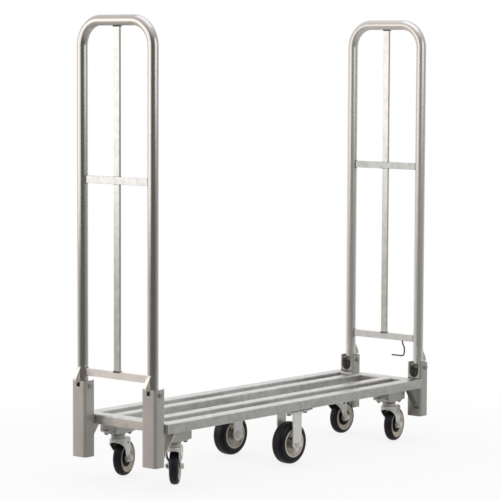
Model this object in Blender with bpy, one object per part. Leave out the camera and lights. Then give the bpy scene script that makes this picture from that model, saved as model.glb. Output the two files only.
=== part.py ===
"""Folding utility cart: a slatted aluminium deck on six casters, with an upright frame hinged at each end.

The frame stands on +Z. X runs along the deck, from the left end at -X to the right end at +X, and -Y is
the front. The origin is on the floor under the middle of the deck. Lengths are in metres, angles in degrees.
"""
import math

import bmesh
import bpy
from mathutils import Matrix, Vector

# Fits shared by the whole cart
SEAT_GAP = 0.0003
CUT_OVERRUN = 0.004

# Deck: a mitred frame of rounded rectangular tube with two slats
DECK_LENGTH = 1.432
DECK_WIDTH = 0.410
DECK_TOP = 0.2345
RAIL_WIDTH = 0.049
RAIL_HEIGHT = 0.034
RAIL_WALL = 0.003
RAIL_CORNER = 0.004
SLAT_WIDTH = 0.0455
SLAT_SIDE_GAP = 0.05835

# Corner posts: rectangular tube with large rounded corners, welded on the deck's end faces
POST_DEPTH = 0.0508
POST_WIDTH = 0.065
POST_WALL = 0.003
POST_CORNER = 0.0115
POST_SIDE_INSET = 0.0097
POST_FOOT = 0.090
POST_TOP_LEFT = 0.353
POST_TOP_RIGHT = 0.295
NOTCH_WIDTH = 0.042
NOTCH_DEPTH = 0.057
WINDOW_WIDTH = 0.016
WINDOW_HEIGHT = 0.017
WINDOW_DROP = 0.004

# Braces between the posts and the underside of the deck
BRACE_REACH = 0.058
BRACE_DROP = 0.079
BRACE_WIDTH = 0.027
BRACE_SHEET = 0.004
BRACE_INSET = 0.005

# Upright frames: a tube bent to a hoop, with flat cross bars
LEG_OFFSET = 0.002
TUBE_DIAMETER = 0.0375
TUBE_WALL = 0.002
BEND_RADIUS = 0.087
UPRIGHT_TOP = 1.593
BAR_HEIGHT = 0.0254
BAR_THICKNESS = 0.0095
MIDDLE_BAR_LEVEL = 1.040
LOWER_BAR_LEVEL = 0.3825

# Hinges: a plug in each leg turns on a bolt through the post
PIVOT_DROP = 0.017
LEG_END_DROP = 0.005
PLUG_INSERT = 0.040
PLUG_NOSE_RADIUS = 0.014
PIVOT_BOLT_DIAMETER = 0.010
PIVOT_COLLAR_DIAMETER = 0.018
PIVOT_HEAD_FLATS = 0.017
PIVOT_HEAD_HEIGHT = 0.0065

# Stop feet on the legs, which stand on the rims of the posts
FOOT_WIDTH = 0.015
FOOT_REACH = 0.022
FOOT_HEIGHT = 0.046
FOOT_HEEL = 0.013
FOOT_HEEL_TAPER = 0.001

# Hook under the lower bar of the right frame
HOOK_ROD = 0.0055
HOOK_ROOT_Y = -0.087
HOOK_KNEE_OUT = 0.009
HOOK_KNEE_DROP = 0.024
HOOK_DROP = 0.058
HOOK_TIP_RUN = 0.050
HOOK_BEND = 0.012

# Swivel caster mounts: short rectangular tubes under the deck
SWIVEL_END_INSET = 0.111
SWIVEL_SIDE_INSET = 0.075
MOUNT_LENGTH = 0.098
MOUNT_WIDTH = 0.076
MOUNT_HEIGHT = 0.0381
MOUNT_WALL = 0.004
MOUNT_CORNER = 0.005

# Swivel casters
TRAIL = 0.045
SWIVEL_WHEEL_RADIUS = 0.0635
SWIVEL_TREAD_WIDTH = 0.032
SWIVEL_TREAD_DEPTH = 0.0130
SWIVEL_TREAD_ROUND = 0.007
TOP_PLATE_LENGTH = 0.092
TOP_PLATE_WIDTH = 0.064
TOP_PLATE_THICKNESS = 0.004
TOP_PLATE_CORNER = 0.010
RACE_RADIUS = 0.0255
RACE_LIP_RADIUS = 0.0235
RACE_SHEET = 0.003
UPPER_RACE_DEPTH = 0.0095
LOWER_RACE_HEIGHT = 0.0070
RACE_GAP = 0.0010
KINGPIN_DIAMETER = 0.013
KINGPIN_HEAD_DIAMETER = 0.021
KINGPIN_HEAD_HEIGHT = 0.004
FORK_SHEET = 0.003
FORK_GAP_WIDTH = 0.037
FORK_CROWN_GAP_WIDTH = 0.050
FORK_SHOULDER_DROP = 0.040
FORK_KNEE_DROP = 0.062
FORK_BEND = 0.009
FORK_FRONT = 0.032
FORK_BACK = 0.041
FORK_CROWN_DEPTH = 0.012
FORK_BOSS_RADIUS = 0.014
FORK_PLAN_ROUND = 0.027
FORK_FRONT_EASE = 0.015
FORK_FRONT_EASE_DROP = 0.042
FORK_BACK_EASE = 0.036
FORK_BACK_EASE_DROP = 0.045
FORK_SLOT_LENGTH = 0.013
FORK_SLOT_HEIGHT = 0.0055
FORK_SLOT_DROP = 0.019
FORK_SLOT_BEHIND = 0.024
HUB_LIP = 0.004
HUB_RECESS = 0.004
HUB_BOSS_RADIUS = 0.016
GUARD_RADIUS = 0.0255
GUARD_THICKNESS = 0.0014
AXLE_DIAMETER = 0.0115
AXLE_HEAD_FLATS = 0.018
AXLE_HEAD_HEIGHT = 0.0085
RUNNING_GAP = 0.0005
SWIVEL_REST_ANGLE = {"left_front": 36.0, "left_rear": 16.5, "right_front": 10.0, "right_rear": 0.5}

# Rigid casters at the middle of the deck
RIGID_SIDE_INSET = 0.066
RIGID_WHEEL_RADIUS = 0.0762
RIGID_TREAD_WIDTH = 0.050
RIGID_TREAD_DEPTH = 0.024
RIGID_TREAD_ROUND = 0.016
RIGID_HUB_RECESS = 0.010
RIGID_HUB_BOSS_RADIUS = 0.019
RIGID_GAP_WIDTH = 0.068
RIGID_SHEET = 0.005
RIGID_LEG_WIDTH = 0.046
RIGID_LEG_DROP = 0.0195
RIGID_LEG_CORNER = 0.018
RIGID_FLARE = 0.012
RIGID_BEND = 0.008
RIGID_PLATE_LENGTH = 0.118
RIGID_PLATE_WIDTH = 0.100
RIGID_PLATE_CORNER = 0.008
RIGID_AXLE_DIAMETER = 0.0127
RIGID_NUT_FLATS = 0.0265
RIGID_NUT_HEIGHT = 0.0105
CROSS_PLATE_THICKNESS = 0.005

# Facet counts
TUBE_SIDES = 16
ROD_SIDES = 8
BEND_STEPS = 5
EDGE_STEPS = 1
CORNER_STEPS = 2
WHEEL_STEPS = 24
RACE_STEPS = 12
BOLT_STEPS = 10
CURVE_STEPS = 3

SMOOTH_ANGLE = 35.0

# Levels and places that follow from the sizes above
DECK_UNDERSIDE = DECK_TOP - RAIL_HEIGHT
POST_CENTRE_X = DECK_LENGTH / 2 + SEAT_GAP + POST_DEPTH / 2
LEG_Y = DECK_WIDTH / 2 - POST_SIDE_INSET - POST_WIDTH / 2
LEG_X = POST_CENTRE_X + LEG_OFFSET
TUBE_RADIUS = TUBE_DIAMETER / 2
SLAT_Y = DECK_WIDTH / 2 - RAIL_WIDTH - SLAT_SIDE_GAP - SLAT_WIDTH / 2
SWIVEL_X = DECK_LENGTH / 2 - SWIVEL_END_INSET
SWIVEL_Y = DECK_WIDTH / 2 - SWIVEL_SIDE_INSET
RIGID_Y = DECK_WIDTH / 2 - RIGID_SIDE_INSET
PLATE_TOP = DECK_UNDERSIDE - SEAT_GAP - MOUNT_HEIGHT - SEAT_GAP
PLATE_UNDERSIDE = PLATE_TOP - TOP_PLATE_THICKNESS
FORK_TOP = PLATE_UNDERSIDE - UPPER_RACE_DEPTH - RACE_GAP - LOWER_RACE_HEIGHT
RIGID_PLATE_TOP = DECK_UNDERSIDE - SEAT_GAP - CROSS_PLATE_THICKNESS - SEAT_GAP

ENDS = {"left": -1, "right": 1}
SIDES = {"front": -1, "rear": 1}
POST_TOPS = {"left": POST_TOP_LEFT, "right": POST_TOP_RIGHT}


# Outlines

def arc(centre, radius, start, end, steps):
    """Points on an arc from angle start to end, both included."""
    points = []
    for step in range(steps + 1):
        angle = math.radians(start + (end - start) * step / steps)
        points.append((centre[0] + radius * math.cos(angle), centre[1] + radius * math.sin(angle)))
    return points


def rounded_rectangle(width, height, radius, steps=CORNER_STEPS):
    """Closed outline, centred on zero, anticlockwise from the right-hand side."""
    across = width / 2 - radius
    up = height / 2 - radius
    points = []
    for sx, sy, start in ((1, 1, 0), (-1, 1, 90), (-1, -1, 180), (1, -1, 270)):
        points += arc((sx * across, sy * up), radius, start, start + 90, steps)
    return points


def tube_outlines(width, height, radius, wall, steps=CORNER_STEPS):
    """Outside and inside of a rectangular tube."""
    outer = rounded_rectangle(width, height, radius, steps)
    inner = rounded_rectangle(width - 2 * wall, height - 2 * wall, radius - wall, steps)
    return outer, inner


def smooth_curve(first, control, last, steps=CURVE_STEPS):
    """Points on a parabola from first to last, pulled towards control; first is left out."""
    points = []
    for step in range(1, steps + 1):
        t = step / steps
        a, b, c = (1 - t) ** 2, 2 * t * (1 - t), t ** 2
        points.append(tuple(a * p + b * q + c * r for p, q, r in zip(first, control, last)))
    return points


def circle(centre, radius, sides=BOLT_STEPS):
    """Closed outline of a round bar or hole, its first corner at the right-hand side."""
    return arc(centre, radius, 0, 360 - 360 / sides, sides - 1)


def hexagon(flats):
    """Six corners of a hexagon with the given size across its flats."""
    return arc((0, 0), flats / math.sqrt(3), 30, 330, 5)


# Meshes

def finish_mesh(bm, name):
    """Turn a bmesh into a mesh with its faces pointing out and its round sides smooth."""
    bmesh.ops.remove_doubles(bm, verts=bm.verts, dist=SEAT_GAP / 30)
    bmesh.ops.recalc_face_normals(bm, faces=bm.faces)
    mesh = bpy.data.meshes.new(name)
    bm.to_mesh(mesh)
    bm.free()
    mesh.shade_smooth()
    mesh.set_sharp_from_angle(angle=math.radians(SMOOTH_ANGLE))
    return mesh


def add_prism(bm, outline, low, high, axis):
    """Add a solid whose outline is drawn across the axis, between two places on it."""
    def place(u, v, w):
        return {"X": (w, u, v), "Y": (u, w, v), "Z": (u, v, w)}[axis]
    rings = [[bm.verts.new(place(u, v, w)) for u, v in outline] for w in (low, high)]
    count = len(outline)
    for index in range(count):
        after = (index + 1) % count
        bm.faces.new((rings[0][index], rings[0][after], rings[1][after], rings[1][index]))
    bm.faces.new(rings[0][::-1])
    bm.faces.new(rings[1])


def prism(name, outline, low, high, axis):
    bm = bmesh.new()
    add_prism(bm, outline, low, high, axis)
    return finish_mesh(bm, name)


def turned(name, profile, axis, steps):
    """Solid of revolution of a closed profile of (radius, place on the axis) points."""
    bm = bmesh.new()
    on_axis = {}
    rings = []
    for index, (radius, place) in enumerate(profile):
        if radius == 0:
            on_axis[index] = bm.verts.new((0, 0, place))
            rings.append(None)
            continue
        ring = []
        for step in range(steps):
            angle = 2 * math.pi * step / steps
            ring.append(bm.verts.new((radius * math.cos(angle), radius * math.sin(angle), place)))
        rings.append(ring)
    count = len(profile)
    for index in range(count):
        after = (index + 1) % count
        first, second = rings[index], rings[after]
        for step in range(steps):
            turn = (step + 1) % steps
            if first and second:
                bm.faces.new((first[step], first[turn], second[turn], second[step]))
            elif first:
                bm.faces.new((first[step], first[turn], on_axis[after]))
            elif second:
                bm.faces.new((second[turn], second[step], on_axis[index]))
    if axis == "Y":
        bmesh.ops.rotate(bm, verts=bm.verts, matrix=Matrix.Rotation(math.radians(-90), 3, "X"))
    return finish_mesh(bm, name)


def hollow_tube(name, outer, inner, low, high, axis):
    """Open-ended tube between two outlines; low and high give the end's place for each outline point."""
    def place(u, v, w):
        return {"X": (w, u, v), "Y": (u, w, v), "Z": (u, v, w)}[axis]
    bm = bmesh.new()
    loops = []
    for outline, end in ((outer, low), (outer, high), (inner, high), (inner, low)):
        loops.append([bm.verts.new(place(u, v, end(u, v))) for u, v in outline])
    count = len(outer)
    for first, second in ((0, 1), (1, 2), (2, 3), (3, 0)):
        for index in range(count):
            after = (index + 1) % count
            corners = (loops[first][index], loops[first][after], loops[second][after], loops[second][index])
            bm.faces.new(corners)
    return finish_mesh(bm, name)


def swept_round(name, path, radius, bore, sides):
    """Round rod or tube along a path of (y, z) points in the plane x = 0."""
    bm = bmesh.new()
    radii = [radius, bore] if bore else [radius]
    surfaces = [[] for _ in radii]
    last = len(path) - 1
    for index, (y, z) in enumerate(path):
        before = Vector(path[max(index - 1, 0)])
        after = Vector(path[min(index + 1, last)])
        into = (Vector((y, z)) - before).normalized() if index else (after - Vector((y, z))).normalized()
        out = (after - Vector((y, z))).normalized() if index < last else into
        along = (into + out).normalized()
        stretch = 1 / max(along.dot(into), 0.5)
        side = Vector((-along.y, along.x))
        for surface, size in zip(surfaces, radii):
            ring = []
            for step in range(sides):
                angle = 2 * math.pi * step / sides
                offset = size * math.sin(angle) * stretch
                corner = (size * math.cos(angle), y + side.x * offset, z + side.y * offset)
                ring.append(bm.verts.new(corner))
            surface.append(ring)
    for surface in surfaces:
        for first, second in zip(surface, surface[1:]):
            for step in range(sides):
                turn = (step + 1) % sides
                bm.faces.new((first[step], first[turn], second[turn], second[step]))
    for end in (0, last):
        if not bore:
            bm.faces.new(surfaces[0][end])
            continue
        outer, inner = surfaces[0][end], surfaces[1][end]
        for step in range(sides):
            turn = (step + 1) % sides
            bm.faces.new((outer[step], outer[turn], inner[turn], inner[step]))
    return finish_mesh(bm, name)


def combined(name, base, steps):
    """Cut, join or intersect a mesh with others, one after the other, and return the result."""
    body = bpy.data.objects.new(name, base)
    bpy.context.scene.collection.objects.link(body)
    tools = []
    for operation, mesh in steps:
        tool = bpy.data.objects.new(name + "_tool", mesh)
        bpy.context.scene.collection.objects.link(tool)
        tool.hide_render = True
        tool.display_type = "WIRE"
        modifier = body.modifiers.new(operation, "BOOLEAN")
        modifier.operation = operation
        modifier.object = tool
        tools.append(tool)
    bpy.context.view_layer.update()
    result = bpy.data.meshes.new_from_object(body.evaluated_get(bpy.context.evaluated_depsgraph_get()))
    result.name = name
    result.shade_smooth()
    result.set_sharp_from_angle(angle=math.radians(SMOOTH_ANGLE))
    for scrap in tools + [body]:
        bpy.data.objects.remove(scrap)
    return result


def moved(mesh, offset):
    """Copy of a mesh, shifted."""
    copy = mesh.copy()
    copy.transform(Matrix.Translation(offset))
    return copy


# Scene objects

def add_material(name, colour, roughness, metallic):
    material = bpy.data.materials.new(name)
    material.use_nodes = True
    shader = material.node_tree.nodes["Principled BSDF"]
    shader.inputs["Base Color"].default_value = (*colour, 1.0)
    shader.inputs["Roughness"].default_value = roughness
    shader.inputs["Metallic"].default_value = metallic
    return material


def add_piece(name, mesh, finish, location=(0, 0, 0), parent=None, turn=0.0):
    """Place one named sub-part; turn is about the vertical."""
    colour, roughness, metallic = finish
    piece = bpy.data.objects.new(name, mesh)
    bpy.context.scene.collection.objects.link(piece)
    piece.location = location
    piece.rotation_euler = (0, 0, math.radians(turn))
    piece.parent = parent
    if not mesh.materials:
        mesh.materials.append(None)
    piece.material_slots[0].link = "OBJECT"
    piece.material_slots[0].material = add_material(name, colour, roughness, metallic)
    return piece


def add_axis(name, location, parent=None, turn=0.0):
    """Empty that marks a joint's axis and carries what turns on it."""
    marker = bpy.data.objects.new(name, None)
    bpy.context.scene.collection.objects.link(marker)
    marker.location = location
    marker.rotation_euler = (0, 0, math.radians(turn))
    marker.parent = parent
    return marker


SATIN_ALUMINIUM = ((0.62, 0.61, 0.59), 0.38, 1.0)
EXTRUDED_ALUMINIUM = ((0.66, 0.66, 0.65), 0.34, 1.0)
ZINC_STEEL = ((0.60, 0.60, 0.58), 0.30, 1.0)
BOLT_STEEL = ((0.45, 0.45, 0.44), 0.35, 1.0)
DARK_STEEL = ((0.09, 0.09, 0.09), 0.45, 0.8)
TREAD_RUBBER = ((0.02, 0.02, 0.025), 0.65, 0.0)
HUB_PLASTIC = ((0.45, 0.43, 0.38), 0.50, 0.0)
RIM_METAL = ((0.55, 0.54, 0.50), 0.40, 0.8)
PLUG_ALUMINIUM = ((0.20, 0.20, 0.20), 0.50, 0.8)


# Deck

def build_deck():
    level = DECK_TOP - RAIL_HEIGHT / 2
    outer, inner = tube_outlines(RAIL_WIDTH, RAIL_HEIGHT, RAIL_CORNER, RAIL_WALL, EDGE_STEPS)

    # The outlines' first coordinate runs across the tube; each mitre shortens it towards the inside.
    def mitre(reach, inward):
        return lambda u, v: reach - (RAIL_WIDTH / 2 + inward * u) - SEAT_GAP

    for side, sign in SIDES.items():
        end = mitre(DECK_LENGTH / 2, -sign)
        mesh = hollow_tube("rail", outer, inner, lambda u, v: -end(u, v), end, "X")
        add_piece("side_rail_" + side, mesh, EXTRUDED_ALUMINIUM, (0, sign * (DECK_WIDTH - RAIL_WIDTH) / 2, level))
    for name, sign in ENDS.items():
        end = mitre(DECK_WIDTH / 2, -sign)
        mesh = hollow_tube("end_rail", outer, inner, lambda u, v: -end(u, v), end, "Y")
        add_piece("end_rail_" + name, mesh, EXTRUDED_ALUMINIUM, (sign * (DECK_LENGTH - RAIL_WIDTH) / 2, 0, level))

    slat_outer, slat_inner = tube_outlines(SLAT_WIDTH, RAIL_HEIGHT, RAIL_CORNER, RAIL_WALL, EDGE_STEPS)
    half = DECK_LENGTH / 2 - RAIL_WIDTH - SEAT_GAP
    slat = hollow_tube("slat", slat_outer, slat_inner, lambda u, v: -half, lambda u, v: half, "X")
    for side, sign in SIDES.items():
        add_piece("slat_" + side, slat, EXTRUDED_ALUMINIUM, (0, sign * SLAT_Y, level))

    plate = rounded_rectangle(RIGID_PLATE_LENGTH, DECK_WIDTH - 2 * RAIL_CORNER, RAIL_CORNER)
    top = DECK_UNDERSIDE - SEAT_GAP
    mesh = prism("cross_plate", plate, top - CROSS_PLATE_THICKNESS, top, "Z")
    add_piece("cross_plate_middle", mesh, SATIN_ALUMINIUM)


# Posts and braces

def build_brace_mesh(outward, sign, web_side):
    """Brace beside a post: a sloped strap with a triangular web along one edge of it."""
    corner = -outward * POST_DEPTH / 2
    toe = corner - outward * BRACE_REACH
    top = DECK_UNDERSIDE - SEAT_GAP
    slope = math.hypot(BRACE_REACH, BRACE_DROP)
    strap_drop = BRACE_SHEET * slope / BRACE_REACH
    strap_run = BRACE_SHEET * slope / BRACE_DROP
    strap = [(toe + outward * strap_run, top), (toe, top), (corner, top - BRACE_DROP), (0, top - BRACE_DROP),
             (0, top - BRACE_DROP + strap_drop), (corner, top - BRACE_DROP + strap_drop)]
    web = [(0, top), (toe, top), (corner, top - BRACE_DROP), (0, top - BRACE_DROP)]
    outer_edge = sign * (POST_WIDTH / 2 - BRACE_INSET)
    inner_edge = outer_edge - sign * BRACE_WIDTH
    edge = outer_edge if web_side == sign else inner_edge
    # The brace stops in the middle of the post's wall, where it joins the post.
    weld = rounded_rectangle(POST_DEPTH - POST_WALL, POST_WIDTH - POST_WALL, POST_CORNER - POST_WALL / 2)
    return combined("brace", prism("strap", strap, *sorted((outer_edge, inner_edge)), "Y"), [
        ("UNION", prism("web", web, *sorted((edge, edge - web_side * BRACE_SHEET)), "Y")),
        ("DIFFERENCE", prism("weld", weld, POST_FOOT, DECK_TOP, "Z")),
    ])


def build_post_mesh(outward, top, brace):
    """Post with its brace, a U notch in its deck side, a window in its outer side and a bolt hole across."""
    outer, inner = tube_outlines(POST_DEPTH, POST_WIDTH, POST_CORNER, POST_WALL)
    tube = hollow_tube("post", outer, inner, lambda u, v: POST_FOOT, lambda u, v: top, "Z")

    half = NOTCH_WIDTH / 2
    floor = top - NOTCH_DEPTH + half
    notch = arc((0, floor), half, 180, 360, 2 * CURVE_STEPS)
    notch += [(half, top + CUT_OVERRUN), (-half, top + CUT_OVERRUN)]
    deck_side = sorted((0, -outward * (POST_DEPTH / 2 + CUT_OVERRUN)))
    window_middle = top - WINDOW_DROP - WINDOW_HEIGHT / 2
    window = [(u, v + window_middle) for u, v in
              rounded_rectangle(WINDOW_WIDTH, WINDOW_HEIGHT, WINDOW_HEIGHT / 6, 1)]
    outer_side = sorted((0, outward * (POST_DEPTH / 2 + CUT_OVERRUN)))
    hole_radius = PIVOT_BOLT_DIAMETER / 2 + SEAT_GAP
    hole = circle((outward * LEG_OFFSET, top - PIVOT_DROP), hole_radius)
    reach = POST_WIDTH / 2 + CUT_OVERRUN
    return combined("post", tube, [
        ("UNION", brace),
        ("DIFFERENCE", prism("notch", notch, *deck_side, "X")),
        ("DIFFERENCE", prism("window", window, *outer_side, "X")),
        ("DIFFERENCE", prism("bolt_hole", hole, -reach, reach, "Y")),
    ])


def build_posts():
    # The braces' webs are on the outside at the right end and on the inside at the left end.
    for end, outward in ENDS.items():
        for side, sign in SIDES.items():
            brace = build_brace_mesh(outward, sign, sign * outward)
            post = build_post_mesh(outward, POST_TOPS[end], brace)
            place = (outward * POST_CENTRE_X, sign * LEG_Y, 0)
            add_piece(f"post_{end}_{side}", post, SATIN_ALUMINIUM, place)


# Uprights, in a frame whose origin lies on the fold axis under the middle of the hoop

def cope(half, seat, steps):
    """Points across a bar's end that is hollowed to fit a round tube, as (across, depth) pairs."""
    places = [half * (2 * step / steps - 1) for step in range(steps + 1)]
    return [(across, math.sqrt(seat ** 2 - across ** 2)) for across in places]


def build_upright(end, outward):
    pivot = POST_TOPS[end] - PIVOT_DROP
    axis = add_axis("fold_axis_" + end, (outward * LEG_X, 0, pivot))
    leg_end = PIVOT_DROP - LEG_END_DROP
    tube_top = UPRIGHT_TOP - TUBE_RADIUS - pivot
    bend_y = LEG_Y - BEND_RADIUS
    bend_z = tube_top - BEND_RADIUS

    path = [(-LEG_Y, leg_end)]
    path += arc((-bend_y, bend_z), BEND_RADIUS, 180, 90, BEND_STEPS)
    path += arc((bend_y, bend_z), BEND_RADIUS, 90, 0, BEND_STEPS)
    path.append((LEG_Y, leg_end))
    hoop = swept_round("hoop", path, TUBE_RADIUS, TUBE_RADIUS - TUBE_WALL, TUBE_SIDES)
    foot = build_foot_mesh(outward)
    hoop = combined("upright_tube", hoop, [
        ("UNION", moved(foot, (0, sign * LEG_Y, 0))) for sign in SIDES.values()])
    add_piece("upright_tube_" + end, hoop, SATIN_ALUMINIUM, parent=axis)

    # The middle bar and the centre bar are halved into each other; the middle bar runs through on the -X side.
    half = BAR_THICKNESS / 2
    side = BAR_HEIGHT / 2
    seat = TUBE_RADIUS + SEAT_GAP
    ends = cope(half, seat, CORNER_STEPS + 1)
    lower_outline = [(-x, depth - LEG_Y) for x, depth in ends] + [(x, LEG_Y - depth) for x, depth in ends]
    lap = side + SEAT_GAP
    middle_outline = [(x, LEG_Y - depth) for x, depth in ends[::-1]] + [(x, depth - LEG_Y) for x, depth in ends]
    middle_outline += [(half, -lap), (-SEAT_GAP / 2, -lap), (-SEAT_GAP / 2, lap), (half, lap)]
    middle = MIDDLE_BAR_LEVEL - pivot
    lower = LOWER_BAR_LEVEL - pivot
    mesh = prism("middle_bar", middle_outline, middle - side, middle + side, "Z")
    add_piece("middle_bar_" + end, mesh, SATIN_ALUMINIUM, parent=axis)
    mesh = prism("lower_bar", lower_outline, lower - side, lower + side, "Z")
    add_piece("lower_bar_" + end, mesh, SATIN_ALUMINIUM, parent=axis)

    centre_outline = [(x, tube_top - depth) for x, depth in ends]
    centre_outline += [(half, lower + lap), (-half, lower + lap), (-half, middle - lap)]
    centre_outline += [(SEAT_GAP / 2, middle - lap), (SEAT_GAP / 2, middle + lap), (-half, middle + lap)]
    mesh = prism("centre_bar", centre_outline, -side, side, "Y")
    add_piece("centre_bar_" + end, mesh, SATIN_ALUMINIUM, parent=axis)

    plug = build_plug_mesh()
    for side_name, sign in SIDES.items():
        name = f"hinge_plug_{end}_{side_name}"
        add_piece(name, plug, PLUG_ALUMINIUM, (0, sign * LEG_Y, 0), parent=axis)
    return axis


def build_foot_mesh(outward):
    """Wedge foot welded to the leg, which stands on the post's rim."""
    bottom = PIVOT_DROP + SEAT_GAP
    tip = TUBE_RADIUS + FOOT_REACH
    facet = math.cos(math.pi / TUBE_SIDES)
    surface = math.sqrt(TUBE_RADIUS ** 2 - (FOOT_WIDTH / 2) ** 2) * facet
    root = (surface + TUBE_RADIUS - TUBE_WALL) / 2
    outline = [(root, bottom), (tip, bottom), (tip - FOOT_HEEL_TAPER, bottom + FOOT_HEEL)]
    outline += [(TUBE_RADIUS, bottom + FOOT_HEIGHT), (root, bottom + FOOT_HEIGHT)]
    outline = [(outward * u, v) for u, v in outline]
    return prism("foot", outline, -FOOT_WIDTH / 2, FOOT_WIDTH / 2, "Y")


def build_plug_mesh():
    """Plug in the leg's end: a round bar milled to a rounded nose, with a bore for the bolt."""
    radius = TUBE_RADIUS - TUBE_WALL - SEAT_GAP
    leg_end = PIVOT_DROP - LEG_END_DROP
    top = leg_end + PLUG_INSERT
    wide = radius + CUT_OVERRUN
    outline = arc((0, 0), PLUG_NOSE_RADIUS, 180, 360, 2 * CURVE_STEPS)
    outline += [(PLUG_NOSE_RADIUS, leg_end - SEAT_GAP), (wide, leg_end - SEAT_GAP), (wide, top)]
    outline += [(-wide, top), (-wide, leg_end - SEAT_GAP), (-PLUG_NOSE_RADIUS, leg_end - SEAT_GAP)]
    bar = circle((0, 0), radius, TUBE_SIDES)
    bar = prism("bar", bar, -PLUG_NOSE_RADIUS - CUT_OVERRUN, top + CUT_OVERRUN, "Z")
    bore = prism("bore", circle((0, 0), PIVOT_BOLT_DIAMETER / 2 + SEAT_GAP), -wide, wide, "Y")
    return combined("plug", bar, [
        ("INTERSECT", prism("side", outline, -wide, wide, "Y")),
        ("DIFFERENCE", bore),
    ])


def build_pivot_bolt_mesh():
    """Bolt across a post, with the collars that hold the plug in the middle."""
    shank = PIVOT_BOLT_DIAMETER / 2
    collar = PIVOT_COLLAR_DIAMETER / 2
    inside = POST_WIDTH / 2 - POST_WALL - SEAT_GAP
    plug = TUBE_RADIUS - TUBE_WALL
    outside = POST_WIDTH / 2 + SEAT_GAP
    end = outside + PIVOT_HEAD_HEIGHT
    profile = [(0, -end + SEAT_GAP), (shank, -end + SEAT_GAP), (shank, -inside), (collar, -inside),
               (collar, -plug), (shank, -plug), (shank, plug), (collar, plug), (collar, inside),
               (shank, inside), (shank, end - SEAT_GAP), (0, end - SEAT_GAP)]
    bolt = turned("bolt", profile, "Y", BOLT_STEPS)
    return combined("pivot_bolt", bolt, [
        ("UNION", prism("head", hexagon(PIVOT_HEAD_FLATS), *sorted((sign * outside, sign * end)), "Y"))
        for sign in (-1, 1)])


def build_uprights():
    bolt = build_pivot_bolt_mesh()
    for end, outward in ENDS.items():
        axis = build_upright(end, outward)
        for side, sign in SIDES.items():
            place = (outward * LEG_X, sign * LEG_Y, POST_TOPS[end] - PIVOT_DROP)
            add_piece(f"pivot_bolt_{end}_{side}", bolt, BOLT_STEEL, place)
        if end == "right":
            build_hook(axis)


def build_hook(axis):
    """Round rod bent to a hook, hanging in the plane of the right frame from its lower bar."""
    top = LOWER_BAR_LEVEL - BAR_HEIGHT / 2 - SEAT_GAP - (POST_TOP_RIGHT - PIVOT_DROP)
    knee = (HOOK_ROOT_Y - HOOK_KNEE_OUT, top - HOOK_KNEE_DROP)
    bottom = top - HOOK_DROP
    path = [(HOOK_ROOT_Y, top)]
    path += smooth_curve((HOOK_ROOT_Y, top), (HOOK_ROOT_Y, top - HOOK_KNEE_DROP / 2), knee)
    path += smooth_curve(knee, (knee[0] - HOOK_KNEE_OUT / 2, bottom), (knee[0] + HOOK_BEND, bottom))
    path.append((HOOK_ROOT_Y + HOOK_TIP_RUN, bottom))
    add_piece("storage_hook", swept_round("hook", path, HOOK_ROD / 2, None, ROD_SIDES), DARK_STEEL, parent=axis)


# Casters

def tread_profile(radius, width, depth, rounding):
    """Section of a tread: round shoulders and a flat bore."""
    half = width / 2
    points = [(radius - depth, -half)]
    points += [(r, a) for a, r in arc((-half + rounding, radius - rounding), rounding, 180, 90, 2)]
    points += [(r, a) for a, r in arc((half - rounding, radius - rounding), rounding, 90, 0, 2)]
    points.append((radius - depth, half))
    return points


def hub_profile(rim, half, lip, recess, boss, boss_half, bore):
    """Section of a wheel centre: a rim with its lips, a recessed web and a longer boss with its bore."""
    return [(bore, -boss_half), (boss, -boss_half), (rim - lip, -half + recess), (rim, -half),
            (rim, half), (rim - lip, half - recess), (boss, boss_half), (bore, boss_half)]


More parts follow.
